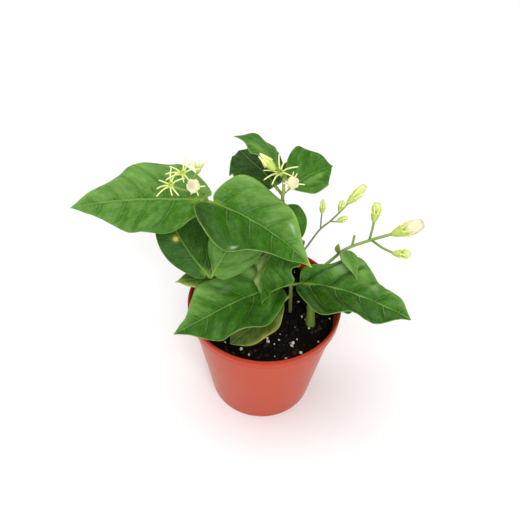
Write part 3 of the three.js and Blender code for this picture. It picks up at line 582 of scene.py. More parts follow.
def leaf_finish(name, settings, deep, middle, light, gloss):
    """A leaf: pale midrib and arched side veins on a mottled green, paler beneath, with painted
    shade beside the veins, painted sheen and highlights, and a painted highlight along the edge.
    """
    f = Finish(name)
    across, edge, phase = f.field("plan")
    along, tone, under = f.field("blade")
    yellow, veined, glint = f.field("mark")
    spacing = settings.vein_spacing / MM
    far = abs(across)
    rib = (far - (veined * 0.4 + 0.3 - along * 0.4)).near(-0.1, 0.4)
    # Painted shade in the groove along each side of the midrib.
    midrib_shade = (far - 1.0).near(0.0, 1.8) * (1 - rib)
    step = abs(phase.math("FRACT") - 0.5) * spacing + far * 0.012
    inner = 1 - edge.near(0.4, 3.2)
    side = step.near(0.15, 0.85) * inner * veined
    # Painted shade on the blade beside each side vein.
    shadow = step.near(0.8, 3.0) * inner * veined
    halfway = abs((phase + 0.5).math("FRACT") - 0.5) * spacing
    faint = halfway.near(0.1, 0.8) * inner * far.near(5.0, 13.0)
    flat = f.node("ShaderNodeCombineXYZ", inputs={0: across, 1: phase * spacing})
    net = f.node(
        "ShaderNodeTexVoronoi", {"feature": "DISTANCE_TO_EDGE"},
        {"Vector": flat, "Scale": 0.42, "Randomness": 0.9},
    ).near(0.0, 0.09)
    cloud = f.noise(flat, 0.07, detail=3.0)
    mottle = f.noise(flat, 0.9, detail=3.0, roughness=0.6)
    blotch = f.noise(flat, 0.22, detail=4.0, roughness=0.6)
    # The tone field brings each leaf's own tone together with the painted sheen and painted shade
    # of its looks.
    level = tone + (cloud - 0.5) * 1.2 + (blotch - 0.5) + (mottle - 0.5) * 0.5
    level = level - shadow * 0.3 - midrib_shade * 0.16
    heart = along.near(0.02, 0.14) * far.near(1.0, 4.0)
    green = f.coats(
        deep,
        (middle, level + 1),
        (light, level),
        (light, net * 0.14),
        (settings.vein, side * 0.34 + faint * 0.07),
        (settings.vein, rib * 0.7),
        ("#93b53a", heart * 0.4),
        # Painted highlight along the edge of each blade.
        (settings.edge_highlight, edge.near(0.1, 0.6) * 0.6),
        ("#d3cf58", yellow),
        # Glint: painted highlights.
        ("#cfdccb", glint),
    )
    pale = f.coats(
        "#6f9448", ("#a5bf74", rib * 0.8 + side * 0.5 + (mottle - 0.5) * 0.5), ("#c9cf74", yellow)
    )
    relief = mottle * 0.4 + blotch * 1.6 - rib - side * 0.8 - faint * 0.25 - net * 0.2
    return f.wear(
        base_color=f.coats(green, (pale, under)),
        roughness=gloss + (mottle - 0.5) * 0.18 + under * 0.25,
        normal=f.bump(relief, 0.4 * MM, 0.8),
        specular_ior_level=0.22,
    )


def calyx_finish(settings):
    """Green stalks that turn yellow-green in the calyx cups and pale along the lobes."""
    f = Finish("calyx")
    reach, tint, _ = f.field("reach")
    mottle = f.noise(f.place(), 700.0, detail=3.0)
    colour = f.coats(
        "#4d8426",
        (settings.stalk, reach * 8.0),
        (settings.calyx, (reach - 0.2) * 2.4 + (mottle - 0.5) * 0.4),
        ("#f0f0ac", (reach - 0.5) * 2.6),
        ("#6a7048", tint),
    )
    return f.wear(
        base_color=colour,
        roughness=0.5 + (mottle - 0.5) * 0.2,
        normal=f.bump(mottle, 0.12 * MM, 0.5),
    )


def petal_finish(settings):
    """Petals wound over each other, yellow-green in young buds and cream in riper ones, with
    painted shade where they overlap.
    """
    f = Finish("petals")
    along, overlap, ripe = f.field("fold")
    brown, lilac, _ = f.field("flush")
    vein = f.noise(f.drawn_out(f.place(), 0.3), 900.0, detail=3.0)
    young = f.coats("#bccf52", ("#dfe69a", along * 1.2 + (vein - 0.5) * 0.6))
    cream = f.coats("#d5dc8c", (settings.petal, along * 3.0 + (vein - 0.5) * 0.4))
    colour = f.coats(
        young,
        (cream, ripe),
        # Painted shade along the petal edges where one lies over the next.
        ("#a9a258", overlap.near(0.02, 0.16) * (0.6 - ripe * 0.3)),
        ("#8a6a4a", brown),
        # Lilac: partly the bud's own tinge, partly painted shade where each petal tucks under the
        # next.
        ("#a99fb0", lilac),
    )
    return f.wear(
        base_color=colour,
        roughness=0.55 + (vein - 0.5) * 0.2,
        normal=f.bump(vein, 0.1 * MM, 0.5),
        sheen_weight=0.15,
    )


def floor_finish(settings):
    """A pale matt studio floor."""
    f = Finish("studio_floor")
    cloud = f.noise(f.place(), 3.0, detail=3.0)
    colour = f.coats(settings.floor_colour, ((0.96, 0.96, 0.96), cloud * 0.5))
    return f.wear(base_color=colour, roughness=0.8)


def shared_finish(name, make, *settings):
    """The finish of that name, made when it is first asked for."""
    return bpy.data.materials.get("finish_" + name) or make(*settings)


# Shapes.


def new_object(name, points, faces):
    """A new object in the scene, from points in mm and the faces over them."""
    mesh = bpy.data.meshes.new(name)
    mesh.from_pydata((np.asarray(points) * MM).tolist(), [], [list(face) for face in faces])
    item = bpy.data.objects.new(name, mesh)
    bpy.context.scene.collection.objects.link(item)
    return item


def add_piece(name, points, faces, finish, node, fields=None):
    """Puts a smooth piece where a node of the frame is, and hides that node."""
    piece = new_object(name, points, faces)
    mesh = piece.data
    for field, values in (fields or {}).items():
        attribute = mesh.attributes.new(field, "FLOAT_VECTOR", "POINT")
        attribute.data.foreach_set("vector", np.asarray(values, dtype=np.float32).ravel())
    mesh.polygons.foreach_set("use_smooth", [True] * len(mesh.polygons))
    mesh.materials.append(finish)
    mesh.update()
    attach(piece, BODY)
    if node:
        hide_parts(node)
    return piece


class Shell:
    """Points, faces and named fields of several closed skins gathered into one piece."""

    def __init__(self):
        self.points = []
        self.faces = []
        self.fields = {}
        self.count = 0

    def add(self, points, faces, **fields):
        points = np.asarray(points, dtype=float)
        self.points.append(points)
        self.faces.extend([[k + self.count for k in face] for face in faces])
        for name, values in fields.items():
            values = np.broadcast_to(np.asarray(values, dtype=float), (len(points), 3))
            self.fields.setdefault(name, []).append(values)
        self.count += len(points)

    def piece(self, name, finish, node, slot):
        fields = {field: np.concatenate(values) for field, values in self.fields.items()}
        return add_piece(name, np.concatenate(self.points), self.faces, finish, node, fields)


def band_faces(rows, sides):
    """Faces of a skin over rings of equally many points, with a face over each end."""
    ring = np.arange(rows * sides).reshape(rows, sides)
    ahead = np.roll(ring, -1, axis=1)
    bands = np.stack([ring[:-1], ahead[:-1], ahead[1:], ring[1:]], axis=-1)
    return [*bands.reshape(-1, 4).tolist(), ring[0, ::-1].tolist(), ring[-1].tolist()]


def sheet_faces(rows, columns):
    """Faces of a closed sheet: its upper grid of points, its lower one and the rim between."""
    grid = np.arange(rows * columns).reshape(rows, columns)
    corners = [grid[:-1, :-1], grid[1:, :-1], grid[1:, 1:], grid[:-1, 1:]]
    upper = np.stack(corners, axis=-1).reshape(-1, 4)
    outline = np.concatenate([grid[0], grid[1:, -1], grid[-1, -2::-1], grid[-2:0:-1, 0]])
    ahead = np.roll(outline, -1)
    rim = np.stack([outline, ahead, ahead + grid.size, outline + grid.size], axis=-1)
    return np.concatenate([upper, upper[:, [0, 3, 2, 1]] + grid.size, rim]).tolist()


class Route:
    """A smooth curve through points, walked by its length."""

    SAMPLES = 400
    NUDGE = 2e-3

    def __init__(self, points):
        self.points = np.asarray(points, dtype=float)
        self.shares = np.linspace(0, 1, self.SAMPLES + 1)
        self.line = np.array([self.curve_at(k) for k in self.shares])
        steps = np.linalg.norm(np.diff(self.line, axis=0), axis=1)
        self.walked = np.concatenate([[0], np.cumsum(steps)])
        self.length = self.walked[-1]

    def curve_at(self, k):
        """Centripetal spline through the points."""
        points = self.points
        last = len(points) - 1
        i = min(int(k * last), last - 1)
        weight = k * last - i
        p1, p2 = points[i], points[i + 1]
        p0 = points[i - 1] if i > 0 else 2 * points[0] - points[1]
        p3 = points[i + 2] if i + 2 <= last else 2 * points[last] - points[last - 1]
        d0, d1, d2 = (np.sqrt(np.linalg.norm(b - a)) for a, b in ((p0, p1), (p1, p2), (p2, p3)))
        t1 = ((p1 - p0) / d0 - (p2 - p0) / (d0 + d1) + (p2 - p1) / d1) * d1
        t2 = ((p2 - p1) / d1 - (p3 - p1) / (d1 + d2) + (p3 - p2) / d2) * d1
        c2 = -3 * p1 + 3 * p2 - 2 * t1 - t2
        c3 = 2 * p1 - 2 * p2 + t1 + t2
        return p1 + weight * (t1 + weight * (c2 + weight * c3))

    def at(self, share):
        """Points at these shares of the length."""
        walked = np.asarray(share) * self.length
        return three(*(np.interp(walked, self.walked, axis) for axis in self.line.T))

    def heading(self, share):
        share = np.asarray(share, dtype=float)
        return unit(
            self.at(np.minimum(share + self.NUDGE, 1)) - self.at(np.maximum(share - self.NUDGE, 0))
        )

    def nearest(self, spot):
        """Share of the length where the route passes closest to a point."""
        return self.shares[np.argmin(np.linalg.norm(self.at(self.shares) - spot, axis=1))]


def tube(route, radius_at, sides, steps):
    """Rings round a route; returns their points, faces and shares of the length."""
    shares = np.linspace(0, 1, steps + 1)
    centres, headings = route.at(shares), route.heading(shares)
    angles = np.linspace(0, FULL_TURN, sides, endpoint=False)[:, None]
    side = unit(np.cross(headings[0], [0.3, 0.9, 0.2]))
    rings = []
    for centre, heading, share in zip(centres, headings, shares):
        side = unit(side - heading * side.dot(heading))
        ring = np.cos(angles) * side + np.sin(angles) * np.cross(heading, side)
        rings.append(centre + ring * radius_at(share))
    return np.concatenate(rings), band_faces(len(rings), sides), np.repeat(shares, sides)


def lathe(profile, sides):
    """A profile of (radius, height) turned about Z."""
    angles = np.linspace(0, FULL_TURN, sides, endpoint=False)
    rings = [three(r * np.cos(angles), r * np.sin(angles), z) for r, z in profile]
    return np.concatenate(rings), band_faces(len(rings), sides)


def aimed(points, start, end):
    """Turns points made along +Z so that they start at one point and run to another."""
    start = Vector(start)
    turn = Vector((0, 0, 1)).rotation_difference(Vector(end) - start).to_matrix()
    return np.asarray(points) @ np.array(turn).T + np.array(start)


def round_profile(corners, radius, steps=4):
    """Rounds the corners of an open profile."""
    corners = [np.array(c, dtype=float) for c in corners]
    line = [corners[0]]
    for before, corner, after in zip(corners, corners[1:], corners[2:]):
        back, ahead = before - corner, after - corner
        cut = min(radius, 0.45 * np.linalg.norm(back), 0.45 * np.linalg.norm(ahead))
        first, last = corner + unit(back) * cut, corner + unit(ahead) * cut
        for k in np.linspace(0, 1, steps + 1):
            line.append(mix(mix(first, corner, k), mix(corner, last, k), k))
    return [*line, corners[-1]]


# Pot and soil.

POT_SIDES = 160
COLLAR_HEIGHT = 9
COLLAR_STEP = 1.7
COLLAR_WALL = 2.6
LIP_BEVEL = 0.9
HUB = 0.6  # radius of the flat face that closes the floor's middle
EDGE_ROUND = 1
LIP_HEIGHT = 1.4
POT_ROUNDING = 0.8
FLOOR_THICKNESS = 2
DRAIN_HOLES = 8
DRAIN_HOLE_RADIUS = 3.2
DRAIN_RING_RADIUS = 29
DRILL_SIDES = 32
SOIL_RELIEF = 0.72
SOIL_DOME = 0.0008
SOIL_SIDES = 200
SOIL_RINGS = 70
SOIL_GAP = 0.4
SOIL_SHOULDER = 4
SOIL_LUMPS = ((1.1, 0.28), (0.8, 0.75), (0.4, 1.9))  # height in mm, and how close together
CRUMB_MARGIN = 2.5
CRUMB_SIZES = (0.5, 0.7, 0.7, 0.9, 1.2, 1.7)
GRAIN_SIZES = (0.4, 0.5, 0.6, 0.9, 1.2)

# Perlite grains that lie where they show most, as x, y and half-width in mm.
PLACED_GRAINS = (
    (3.3, -28.5, 1.5), (19.7, -30.2, 1.1), (25.9, -35.8, 1.1), (-9.2, -39.3, 1), (15.7, -41.3, 0.8),
    (31.6, -14.8, 1), (23.2, -24.9, 0.6), (46.5, -5.1, 0.7),
)


def pot_wall(pot, z):
    """Outside radius of the pot's tapered wall at a height, in mm."""
    low, rim, high = pot.floor_radius / MM, pot.rim_radius / MM, pot.height / MM
    return mix(low, rim - COLLAR_STEP - EDGE_ROUND, z / (high - COLLAR_HEIGHT))


def drill_holes(piece):
    """Cuts the drain holes through the floor of the pot."""
    points, faces = lathe([(DRAIN_HOLE_RADIUS, z * FLOOR_THICKNESS) for z in (-1, 2)], DRILL_SIDES)
    shell = Shell()
    for i in range(DRAIN_HOLES):
        turn = FULL_TURN * (i + 0.5) / DRAIN_HOLES
        shell.add(points + np.array([math.cos(turn), math.sin(turn), 0]) * DRAIN_RING_RADIUS, faces)
    drill = new_object("drill", np.concatenate(shell.points), shell.faces)
    cut = piece.modifiers.new("drain_holes", "BOOLEAN")
    cut.operation = "DIFFERENCE"
    cut.solver = "EXACT"
    cut.object = drill
    bpy.context.view_layer.update()
    shaped = piece.evaluated_get(bpy.context.evaluated_depsgraph_get())
    shaped = bpy.data.meshes.new_from_object(shaped)
    piece.modifiers.clear()
    piece.data = shaped
    bpy.data.objects.remove(drill)


class JASMINE_OT_pot(bpy.types.Operator):
    """Builds the tapered pot with its stepped collar and drain holes"""

    bl_idname = "jasmine.pot"
    bl_label = "Nursery Pot"

    def execute(self, context):
        pot = context.scene.jasmine_pot
        rim, top = pot.rim_radius / MM, pot.height / MM
        low, wall = pot.floor_radius / MM, pot.wall / MM
        shoulder = top - COLLAR_HEIGHT
        corners = [
            (HUB, 0),
            (low - 3, 0),
            (low, 0),
            (pot_wall(pot, shoulder), shoulder),
            (rim - EDGE_ROUND / 2, shoulder + EDGE_ROUND / 2),
            (rim, top - LIP_HEIGHT),
            (rim - EDGE_ROUND / 2, top - 0.2),
            (rim - COLLAR_WALL / 2, top),
            (rim - COLLAR_WALL + 0.4, top - LIP_BEVEL),
            (rim - COLLAR_WALL, shoulder + wall),
            (pot_wall(pot, shoulder) - wall, shoulder - wall / 2),
            (pot_wall(pot, FLOOR_THICKNESS) - wall, FLOOR_THICKNESS),
            (HUB, FLOOR_THICKNESS),
        ]
        points, faces = lathe(round_profile(corners, POT_ROUNDING), POT_SIDES)
        slot = "terracotta_plastic"
        finish = shared_finish(slot, plastic_finish, pot)
        drill_holes(add_piece("moulded_pot", points, faces, finish, "pot"))
        return {"FINISHED"}


def soil_height(soil, x, y):
    """Height of the soil's top, in mm."""
    broad = math.sin(0.31 * x + 1.3) * math.cos(0.27 * y - 0.6)
    small = 0.6 * math.sin(0.55 * x - 0.43 * y)
    return soil.top / MM + SOIL_RELIEF * (broad + small) - SOIL_DOME * (x * x + y * y)


def soil_bed(pot, soil):
    """The body of soil, ring by ring from its foot up and in over its crumbly top."""
    top, foot = soil.top / MM, FLOOR_THICKNESS + SOIL_GAP
    edge = pot_wall(pot, top) - pot.wall / MM - 0.1
    heel = pot_wall(pot, foot) - pot.wall / MM - SOIL_GAP

    def crumbly(x, y, share):
        spot = Vector((x, y, 0))
        rough = sum(height * noise.noise(spot * scale) for height, scale in SOIL_LUMPS)
        return soil_height(soil, x, y) + rough * (1 - 0.4 * share**6)

    rings = [(heel, foot), (edge - SOIL_GAP, top - SOIL_SHOULDER)]
    rings += [(edge * i / SOIL_RINGS, None) for i in range(SOIL_RINGS, 0, -1)]
    points = []
    for r, z in rings:
        for j in range(SOIL_SIDES):
            turn = FULL_TURN * j / SOIL_SIDES
            x, y = r * math.cos(turn), r * math.sin(turn)
            points.append((x, y, crumbly(x, y, r / edge) if z is None else z))
    return points, band_faces(len(rings), SOIL_SIDES)


def lump(rng, size, flat, detail):
    """An irregular grain about the origin."""
    ball = bmesh.new()
    bmesh.ops.create_icosphere(ball, subdivisions=detail, radius=1.0)
    shift = Vector([rng.uniform(0, 50) for _ in range(3)])
    stretch = np.array([size * rng.uniform(0.7, 1.3), size * rng.uniform(0.7, 1.3), size * flat])
    swell = [1 + 0.45 * noise.noise(v.co * 1.3 + shift) for v in ball.verts]
    points = [np.array(v.co) * k * stretch for v, k in zip(ball.verts, swell)]
    faces = [[v.index for v in face.verts] for face in ball.faces]
    ball.free()
    turn = Matrix.Rotation(rng.uniform(0, FULL_TURN), 3, "Z")
    turn = turn @ Matrix.Rotation(rng.uniform(-0.6, 0.6), 3, "X")
    return points @ np.array(turn).T, faces


class JASMINE_OT_soil(bpy.types.Operator):
    """Builds the soil, its crumbs, and the perlite grains in it"""

    bl_idname = "jasmine.soil"
    bl_label = "Potting Soil"

    def execute(self, context):
        pot, soil = context.scene.jasmine_pot, context.scene.jasmine_soil
        rng = random.Random(11)
        reach = pot_wall(pot, soil.top / MM) - pot.wall / MM - CRUMB_MARGIN

        def spot():
            r, turn = reach * math.sqrt(rng.random()), rng.uniform(0, FULL_TURN)
            return r * math.cos(turn), r * math.sin(turn)

        bed = Shell()
        bed.add(*soil_bed(pot, soil), tone=0.0)
        for _ in range(soil.crumbs):
            x, y = spot()
            size = rng.choice(CRUMB_SIZES)
            points, faces = lump(rng, size, rng.uniform(0.35, 0.8), 1)
            z = soil_height(soil, x, y) + 0.2 * size + 0.3
            bed.add(points + [x, y, z], faces, tone=rng.random() ** 3)
        bed.piece("potting_soil", shared_finish("soil", soil_finish, soil), "soil", "soil")
        white = Shell()
        scattered = [(*spot(), rng.choice(GRAIN_SIZES)) for _ in range(soil.grains)]
        for x, y, size in (*PLACED_GRAINS, *scattered):
            points, faces = lump(rng, size, rng.uniform(0.6, 0.9), 2)
            white.add(points + [x, y, soil_height(soil, x, y) + 0.5 * size + 0.4], faces)
        white.piece("perlite_grains", shared_finish("perlite", perlite_finish), None, "soil")
        return {"FINISHED"}


# Stems and leaves.

STEM_SIDES = 20
JOINT_SWELL = 0.16
JOINT_REACH = 1.8
STEM_COLOURS = {"young_stem": ("#667f33", "#7c9f42"), "thin_stem": ("#6f6d40", "#a5b468")}


class JASMINE_OT_stems(bpy.types.Operator):
    """Builds the four stems, swollen where leaves sit on them"""

    bl_idname = "jasmine.stems"
    bl_label = "Stems"

    def execute(self, context):
        for name, stem in STEMS.items():
            route = Route(stem["route"])
            nodes = {leaf["node"] for leaf in LEAVES.values() if leaf["stem"] == name}
            joints = [route.nearest(node) for node in nodes]

            def radius(share):
                away = [(share - joint) * route.length / JOINT_REACH for joint in joints]
                swell = min(1, sum(math.exp(-(k**2)) for k in away))
                return mix(stem["foot"], stem["top"], share) * (1 + JOINT_SWELL * swell)

            points, faces, along = tube(route, radius, STEM_SIDES, int(route.length))
            slot = stem["finish"]
            finish = shared_finish(slot, bark_finish, slot, *STEM_COLOURS[slot])
            fields = {"along": three(along, 0, 0)}
            add_piece("fine_" + name, points, faces, finish, name, fields)
        return {"FINISHED"}


PETIOLE_HALF_WIDTH = 1.0
PETIOLE_DEPTH = 1.9
PETIOLE_EDGE = 0.6
PETIOLE_SEAT_GAP = 0.5
TIP_HALF_WIDTH = 0.4
MIDRIB_EXTRA = 0.8
MIDRIB_TAPER = 0.6
CURL_START = 0.6
SEAT_GAP = 0.3
LEAF_ROWS = 90
PETIOLE_ROWS = 8
LEAF_COLUMNS = 45
ROW_CROWDING = 0.75
COLUMN_CROWDING = 0.28
CALM_WIDTH = 7  # narrower parts of a blade hardly wave
LOBE_BOW = 1.5
LOBE_START = 0.004
VEIN_LEAN = 0.4
VEIN_BEND = 0.5
VEIN_STAGGER = 0.18
VEINED_LENGTH = 75  # shorter leaves have closer veins
QUILTED_HALF = 26  # narrower leaves are flatter between their veins
QUILT_RIB_FADE = 6
QUILT_EDGE_FADE = 5
CRINKLE = 0.9
CRINKLE_GRAIN = 0.16
CRINKLED_HALF = 20
CRINKLE_FADE = 8

# Looks of single leaves. Tones run from -1, deep, to 1, light: tone at the middle, tip more
# or less of it towards the tip, left and right towards those margins. On the leaves marked
# below, the left and right tones and the light patches are painted sheen and painted shade.
# First tells where the side veins begin. Light, yellow and glint are soft patches: their place
# along the blade and across it (1 is the left margin), their reach both ways and their
# strength; glint patches are painted highlights.
PLAIN_LOOK = dict(
    tone=-0.1, tip=0, left=0, right=0, first=0.2, quilt=1, veins=0.6, light=(), yellow=(), glint=()
)

LEAF_LOOKS = {
    # The lighter right half is painted sheen.
    "leaf_left": dict(tone=0.3, tip=0.2, left=-0.05, right=0.5, first=0.35, quilt=1.2, veins=0.8),
    # The lighter left half is painted sheen, the darker right half painted shade, and the two
    # glints painted highlights.
    "leaf_centre": dict(
        tone=-0.05, tip=0.2, left=1.05, right=-0.2, first=0.1, quilt=1.5, veins=1,
        yellow=((1, 0, 0.04, 1.5, 1),),
        glint=((0.42, -0.88, 0.025, 0.04, 0.8), (0.69, 0.66, 0.04, 0.05, 0.5)),
    ),
    # The darker right half is painted shade where the centre leaf shadows it.
    "leaf_back_left": dict(
        tone=-0.35, right=-0.3, first=0.4, yellow=((0.49, 0.18, 0.024, 0.1, 1.6),),
    ),
    "leaf_back_middle": dict(tone=0.6, quilt=1.5, veins=1),
    # The right tone and the light patches are painted sheen, the darker left tone painted shade,
    # and the glint a painted highlight.
    "leaf_front_left": dict(
        tip=0.15, left=-0.2, right=0.9, quilt=1.6, veins=1,
        light=((0.15, -0.6, 0.1, 0.3, 0.4), (0.12, 0.5, 0.12, 0.4, 0.6)),
        glint=((0.45, -0.5, 0.05, 0.1, 0.14),),
    ),
    # The light, yellow and glint patches at 0.75 along paint light on a folded strip near the
    # margin: painted highlight.
    "leaf_hanging": dict(
        first=0.3, light=((0.75, -0.6, 0.6, 0.5, 1.6), (0.45, 0.5, 0.2, 0.4, 0.4)),
        yellow=((0.75, -0.6, 0.6, 0.4, 0.3),), glint=((0.75, -0.7, 0.6, 0.4, 0.16),),
    ),
    # The left tone and the light patches are painted sheen, the darker right tone painted shade,
    # and the glints painted highlights.
    "leaf_right": dict(
        tone=-0.2, tip=0.2, left=0.7, right=-0.3, first=0.3, quilt=2.6, veins=1.4,
        light=((0.3, 0.6, 0.12, 0.25, 0.7), (0.55, 0.5, 0.12, 0.2, 0.6)),
        glint=((0.3, 0.65, 0.06, 0.12, 0.16), (0.62, 0.4, 0.06, 0.12, 0.12)),
    ),
    # The light patch is a painted highlight across the middle of the blade.
    "leaf_top_small": dict(tone=0.2, veins=0.35, light=((0.5, 0.3, 0.2, 0.3, 0.6),)),
    "leaf_top_back": dict(tone=-0.65, veins=0.35),
    "leaf_top_right": dict(tone=0.05, quilt=1.5, light=((0.5, -0.3, 0.3, 0.15, 0.7),)),
    "leaf_low_left": dict(
        light=((0.6, 1, 0.5, 0.7, 0.8),), yellow=((0.6, 1, 0.4, 0.4, 0.5), (1, 0, 0.15, 1, 0.5)),
    ),
    "leaf_old_yellow": dict(tone=0.15, yellow=((0.5, 1, 0.5, 0.16, 0.5),)),
    "leaf_spray_large": dict(tone=0.5, veins=0.2, light=((0.5, -0.8, 0.5, 0.3, 0.6),)),
    "leaf_spray_small": dict(tone=1, veins=0.2, yellow=((0.5, 0, 1, 2, 0.5),)),
}


def seat_on(growth, towards, foot_radius, gap):
    """Where a leaf or a cluster begins, on the side of its carrier that faces its far end."""
    if growth["stem"] in STEMS:
        stem = STEMS[growth["stem"]]
        route, foot, top = Route(stem["route"]), stem["foot"], stem["top"]
    else:
        spray = CLUSTERS[growth["stem"]]
        route, foot, top = Route(spray["peduncle"]), spray["radius"], spray["radius"]
    start = np.array(growth["node"], dtype=float)
    nearest = route.nearest(start)
    axis = route.heading(nearest)
    direction = unit(np.asarray(towards, dtype=float) - start)
    slant = abs(direction.dot(axis))
    if nearest == 1 and slant > 0.5:
        return start + axis * (gap + foot_radius * math.sqrt(1 - slant * slant))
    away = unit(direction - axis * direction.dot(axis))
    return start + away * (mix(foot, top, nearest) + gap + foot_radius * slant)


def leaf_axes(leaf, base, tip):
    """The directions along a leaf, up from it and to its left, turned by its roll."""
    along = unit(tip - base)
    level = unit(np.array([0, 0, 1]) - along * along[2])
    turn = Matrix.Rotation(-math.radians(leaf["roll"]), 3, Vector(along))
    up = np.array(turn @ Vector(level))
    return along, up, np.cross(up, along)


def midrib(leaf, axes, base, length, u):
    """Points of the curved centre line of a leaf, u running from its foot to its tip."""
    u = np.asarray(u, dtype=float)[..., None]
    hump = 4 * u * (1 - u) * (1 + leaf["skew"] * (1 - 2 * u))
    curl = np.maximum(0, (u - CURL_START) / (1 - CURL_START)) ** 2
    along, up, left = axes
    lift = leaf["arch"] * hump - leaf["curl"] * curl
    return base + along * length * u + up * lift + left * leaf["sweep"] * hump


def blade_width(leaf, t):
    """Share of the greatest width at t of the blade's length."""
    belly = np.maximum(0, np.sin(math.pi * t ** (math.log(0.5) / math.log(leaf["peak"]))))
    return belly ** mix(leaf["blunt"], leaf["point"], t)


def lobe_sweep(t):
    """How strongly the foot of the blade is drawn back into lobes at t of its length."""
    return (1 - np.exp(-t / LOBE_START)) * (1 - t) ** 8


def patches(spots, t, v):
    """Strength of soft patches at each point of a blade."""
    total = 0 * t * v
    for spot_t, spot_v, reach_t, reach_v, strength in spots:
        total += strength * np.exp(-(((t - spot_t) / reach_t) ** 2) - ((v - spot_v) / reach_v) ** 2)
    return total


def crinkled(x, y, shift):
    """Low irregular swellings over the flat plan of a blade, other ones for each shift."""
    spots = zip(x.ravel() * CRINKLE_GRAIN + shift, y.ravel() * CRINKLE_GRAIN)
    return np.reshape([noise.noise(Vector((*spot, 0.3))) for spot in spots], x.shape)


def leaf_skin(leaf, look, settings):
    """Points, faces and fields of a leaf: a closed sheet with quilted, veined faces."""
    node, tip = (np.array(leaf[end], dtype=float) for end in ("node", "tip"))
    ahead = midrib(leaf, leaf_axes(leaf, node, tip), node, np.linalg.norm(tip - node), 0.02)
    base = seat_on(leaf, ahead, PETIOLE_HALF_WIDTH, PETIOLE_SEAT_GAP)
    axes = leaf_axes(leaf, base, tip)
    length = np.linalg.norm(tip - base)
    stalk = leaf["petiole"] / length
    share = np.linspace(0, 1, LEAF_ROWS + 1)[1:]
    blade_rows = mix(stalk, 1, mix(share, (1 - np.cos(math.pi * share)) / 2, ROW_CROWDING))
    rooted = -(PETIOLE_SEAT_GAP + 0.5) / length
    u = np.concatenate([np.linspace(rooted, stalk, PETIOLE_ROWS), blade_rows])
    t = np.clip((u - stalk) / (1 - stalk), 0, 1)[:, None]
    v = np.linspace(-1, 1, LEAF_COLUMNS)[None, :]
    v = v * (1 - COLUMN_CROWDING * (1 - v**2))

    def sided(left, right):
        return np.where(v > 0, leaf[left], leaf[right])

    # The flat plan of the leaf, row by row along it and column by column across it.
    half = leaf["width"] / 2
    blade = np.maximum(half * blade_width(leaf, t), mix(PETIOLE_HALF_WIDTH, TIP_HALF_WIDTH, t))
    out = np.abs(v)
    reach = blade * out * sided("left", "right")
    edge = blade * (1 - out) * sided("left", "right")
    flat_x = reach * np.sign(v)
    flat_y = (u[:, None] - stalk) * length + 0 * reach
    spacing = settings.vein_spacing / MM * min(1, max(0.6, length / VEINED_LENGTH))
    veins = (flat_y - VEIN_LEAN * reach - VEIN_BEND * reach**2 / half) / spacing
    veins += look["first"] + VEIN_STAGGER * np.sign(v)

    # How far each point is lifted from the plan: fold, waves, quilting and crinkles.
    slope = np.radians(leaf["fold"] - leaf["cup"] * out / 2)
    swell = np.sqrt(blade / half) * np.clip(blade / CALM_WIDTH, 0, 1)
    beat = np.sin(FULL_TURN * (leaf["waves"] * t + sided("left_phase", "right_phase")))
    pillow = np.clip(reach / QUILT_RIB_FADE, 0, 1) * np.clip(edge / QUILT_EDGE_FADE, 0, 1)
    pillow *= np.cos(FULL_TURN * veins) * min(1, half / QUILTED_HALF) ** 2 * look["quilt"]
    crinkle = crinkled(flat_x, flat_y, 13.7 * half + leaf["tip"][0])
    crinkle *= CRINKLE * np.clip(reach / CRINKLE_FADE, 0, 1) * min(1, half / CRINKLED_HALF)
    waves = leaf["wave"] * swell * out**2 * beat + settings.quilting / MM * pillow + crinkle
    lift = reach * np.sin(slope) + np.where(t > 0, waves, 0)
    back = sided("back_left", "back_right") * out**LOBE_BOW * lobe_sweep(t)

    near, far = (midrib(leaf, axes, base, length, u + step) for step in (-1e-3, 1e-3))
    forward = unit(far - near)
    across = unit(axes[2] - forward * (forward @ axes[2])[:, None])
    middle = (
        midrib(leaf, axes, base, length, u)[:, None, :]
        - forward[:, None, :] * back[..., None]
        + across[:, None, :] * (flat_x * np.cos(slope))[..., None]
        + np.cross(forward, across)[:, None, :] * lift[..., None]
    )
    normal = unit(np.cross(np.gradient(middle, axis=0), np.gradient(middle, axis=1)))
    narrow = ((t <= 0) | (t >= 1))[:, 0]
    normal[narrow] = normal[narrow, LEAF_COLUMNS // 2 : LEAF_COLUMNS // 2 + 1]
    petiole_depth = mix(PETIOLE_EDGE, PETIOLE_DEPTH, 1 - out**2)
    blade_depth = settings.margin / MM + MIDRIB_EXTRA * (1 - out) ** 4 * (1 - MIDRIB_TAPER * t)
    thick = normal * np.where(t > 0, blade_depth, petiole_depth)[..., None]
    points = np.concatenate([middle + thick / 2, middle - thick / 2]).reshape(-1, 3)

    # Tone: each leaf's own tone, with the painted sheen and painted shade of its looks; glint:
    # painted highlights.
    tone = look["tone"] + look["tip"] * (2 * t - 1) + patches(look["light"], t, v)
    tone += look["left"] * np.maximum(0, v) + look["right"] * np.maximum(0, -v)
    yellow, glint = (np.clip(patches(look[kind], t, v), 0, 1) for kind in ("yellow", "glint"))
    fields = {
        "plan": [three(flat_x, edge, veins)] * 2,
        "blade": [three(t, tone, under) for under in (0, 1)],
        "mark": [three(yellow, look["veins"], glint)] * 2,
    }
    fields = {name: np.concatenate(both).reshape(-1, 3) for name, both in fields.items()}
    return points, sheet_faces(len(u), LEAF_COLUMNS), fields


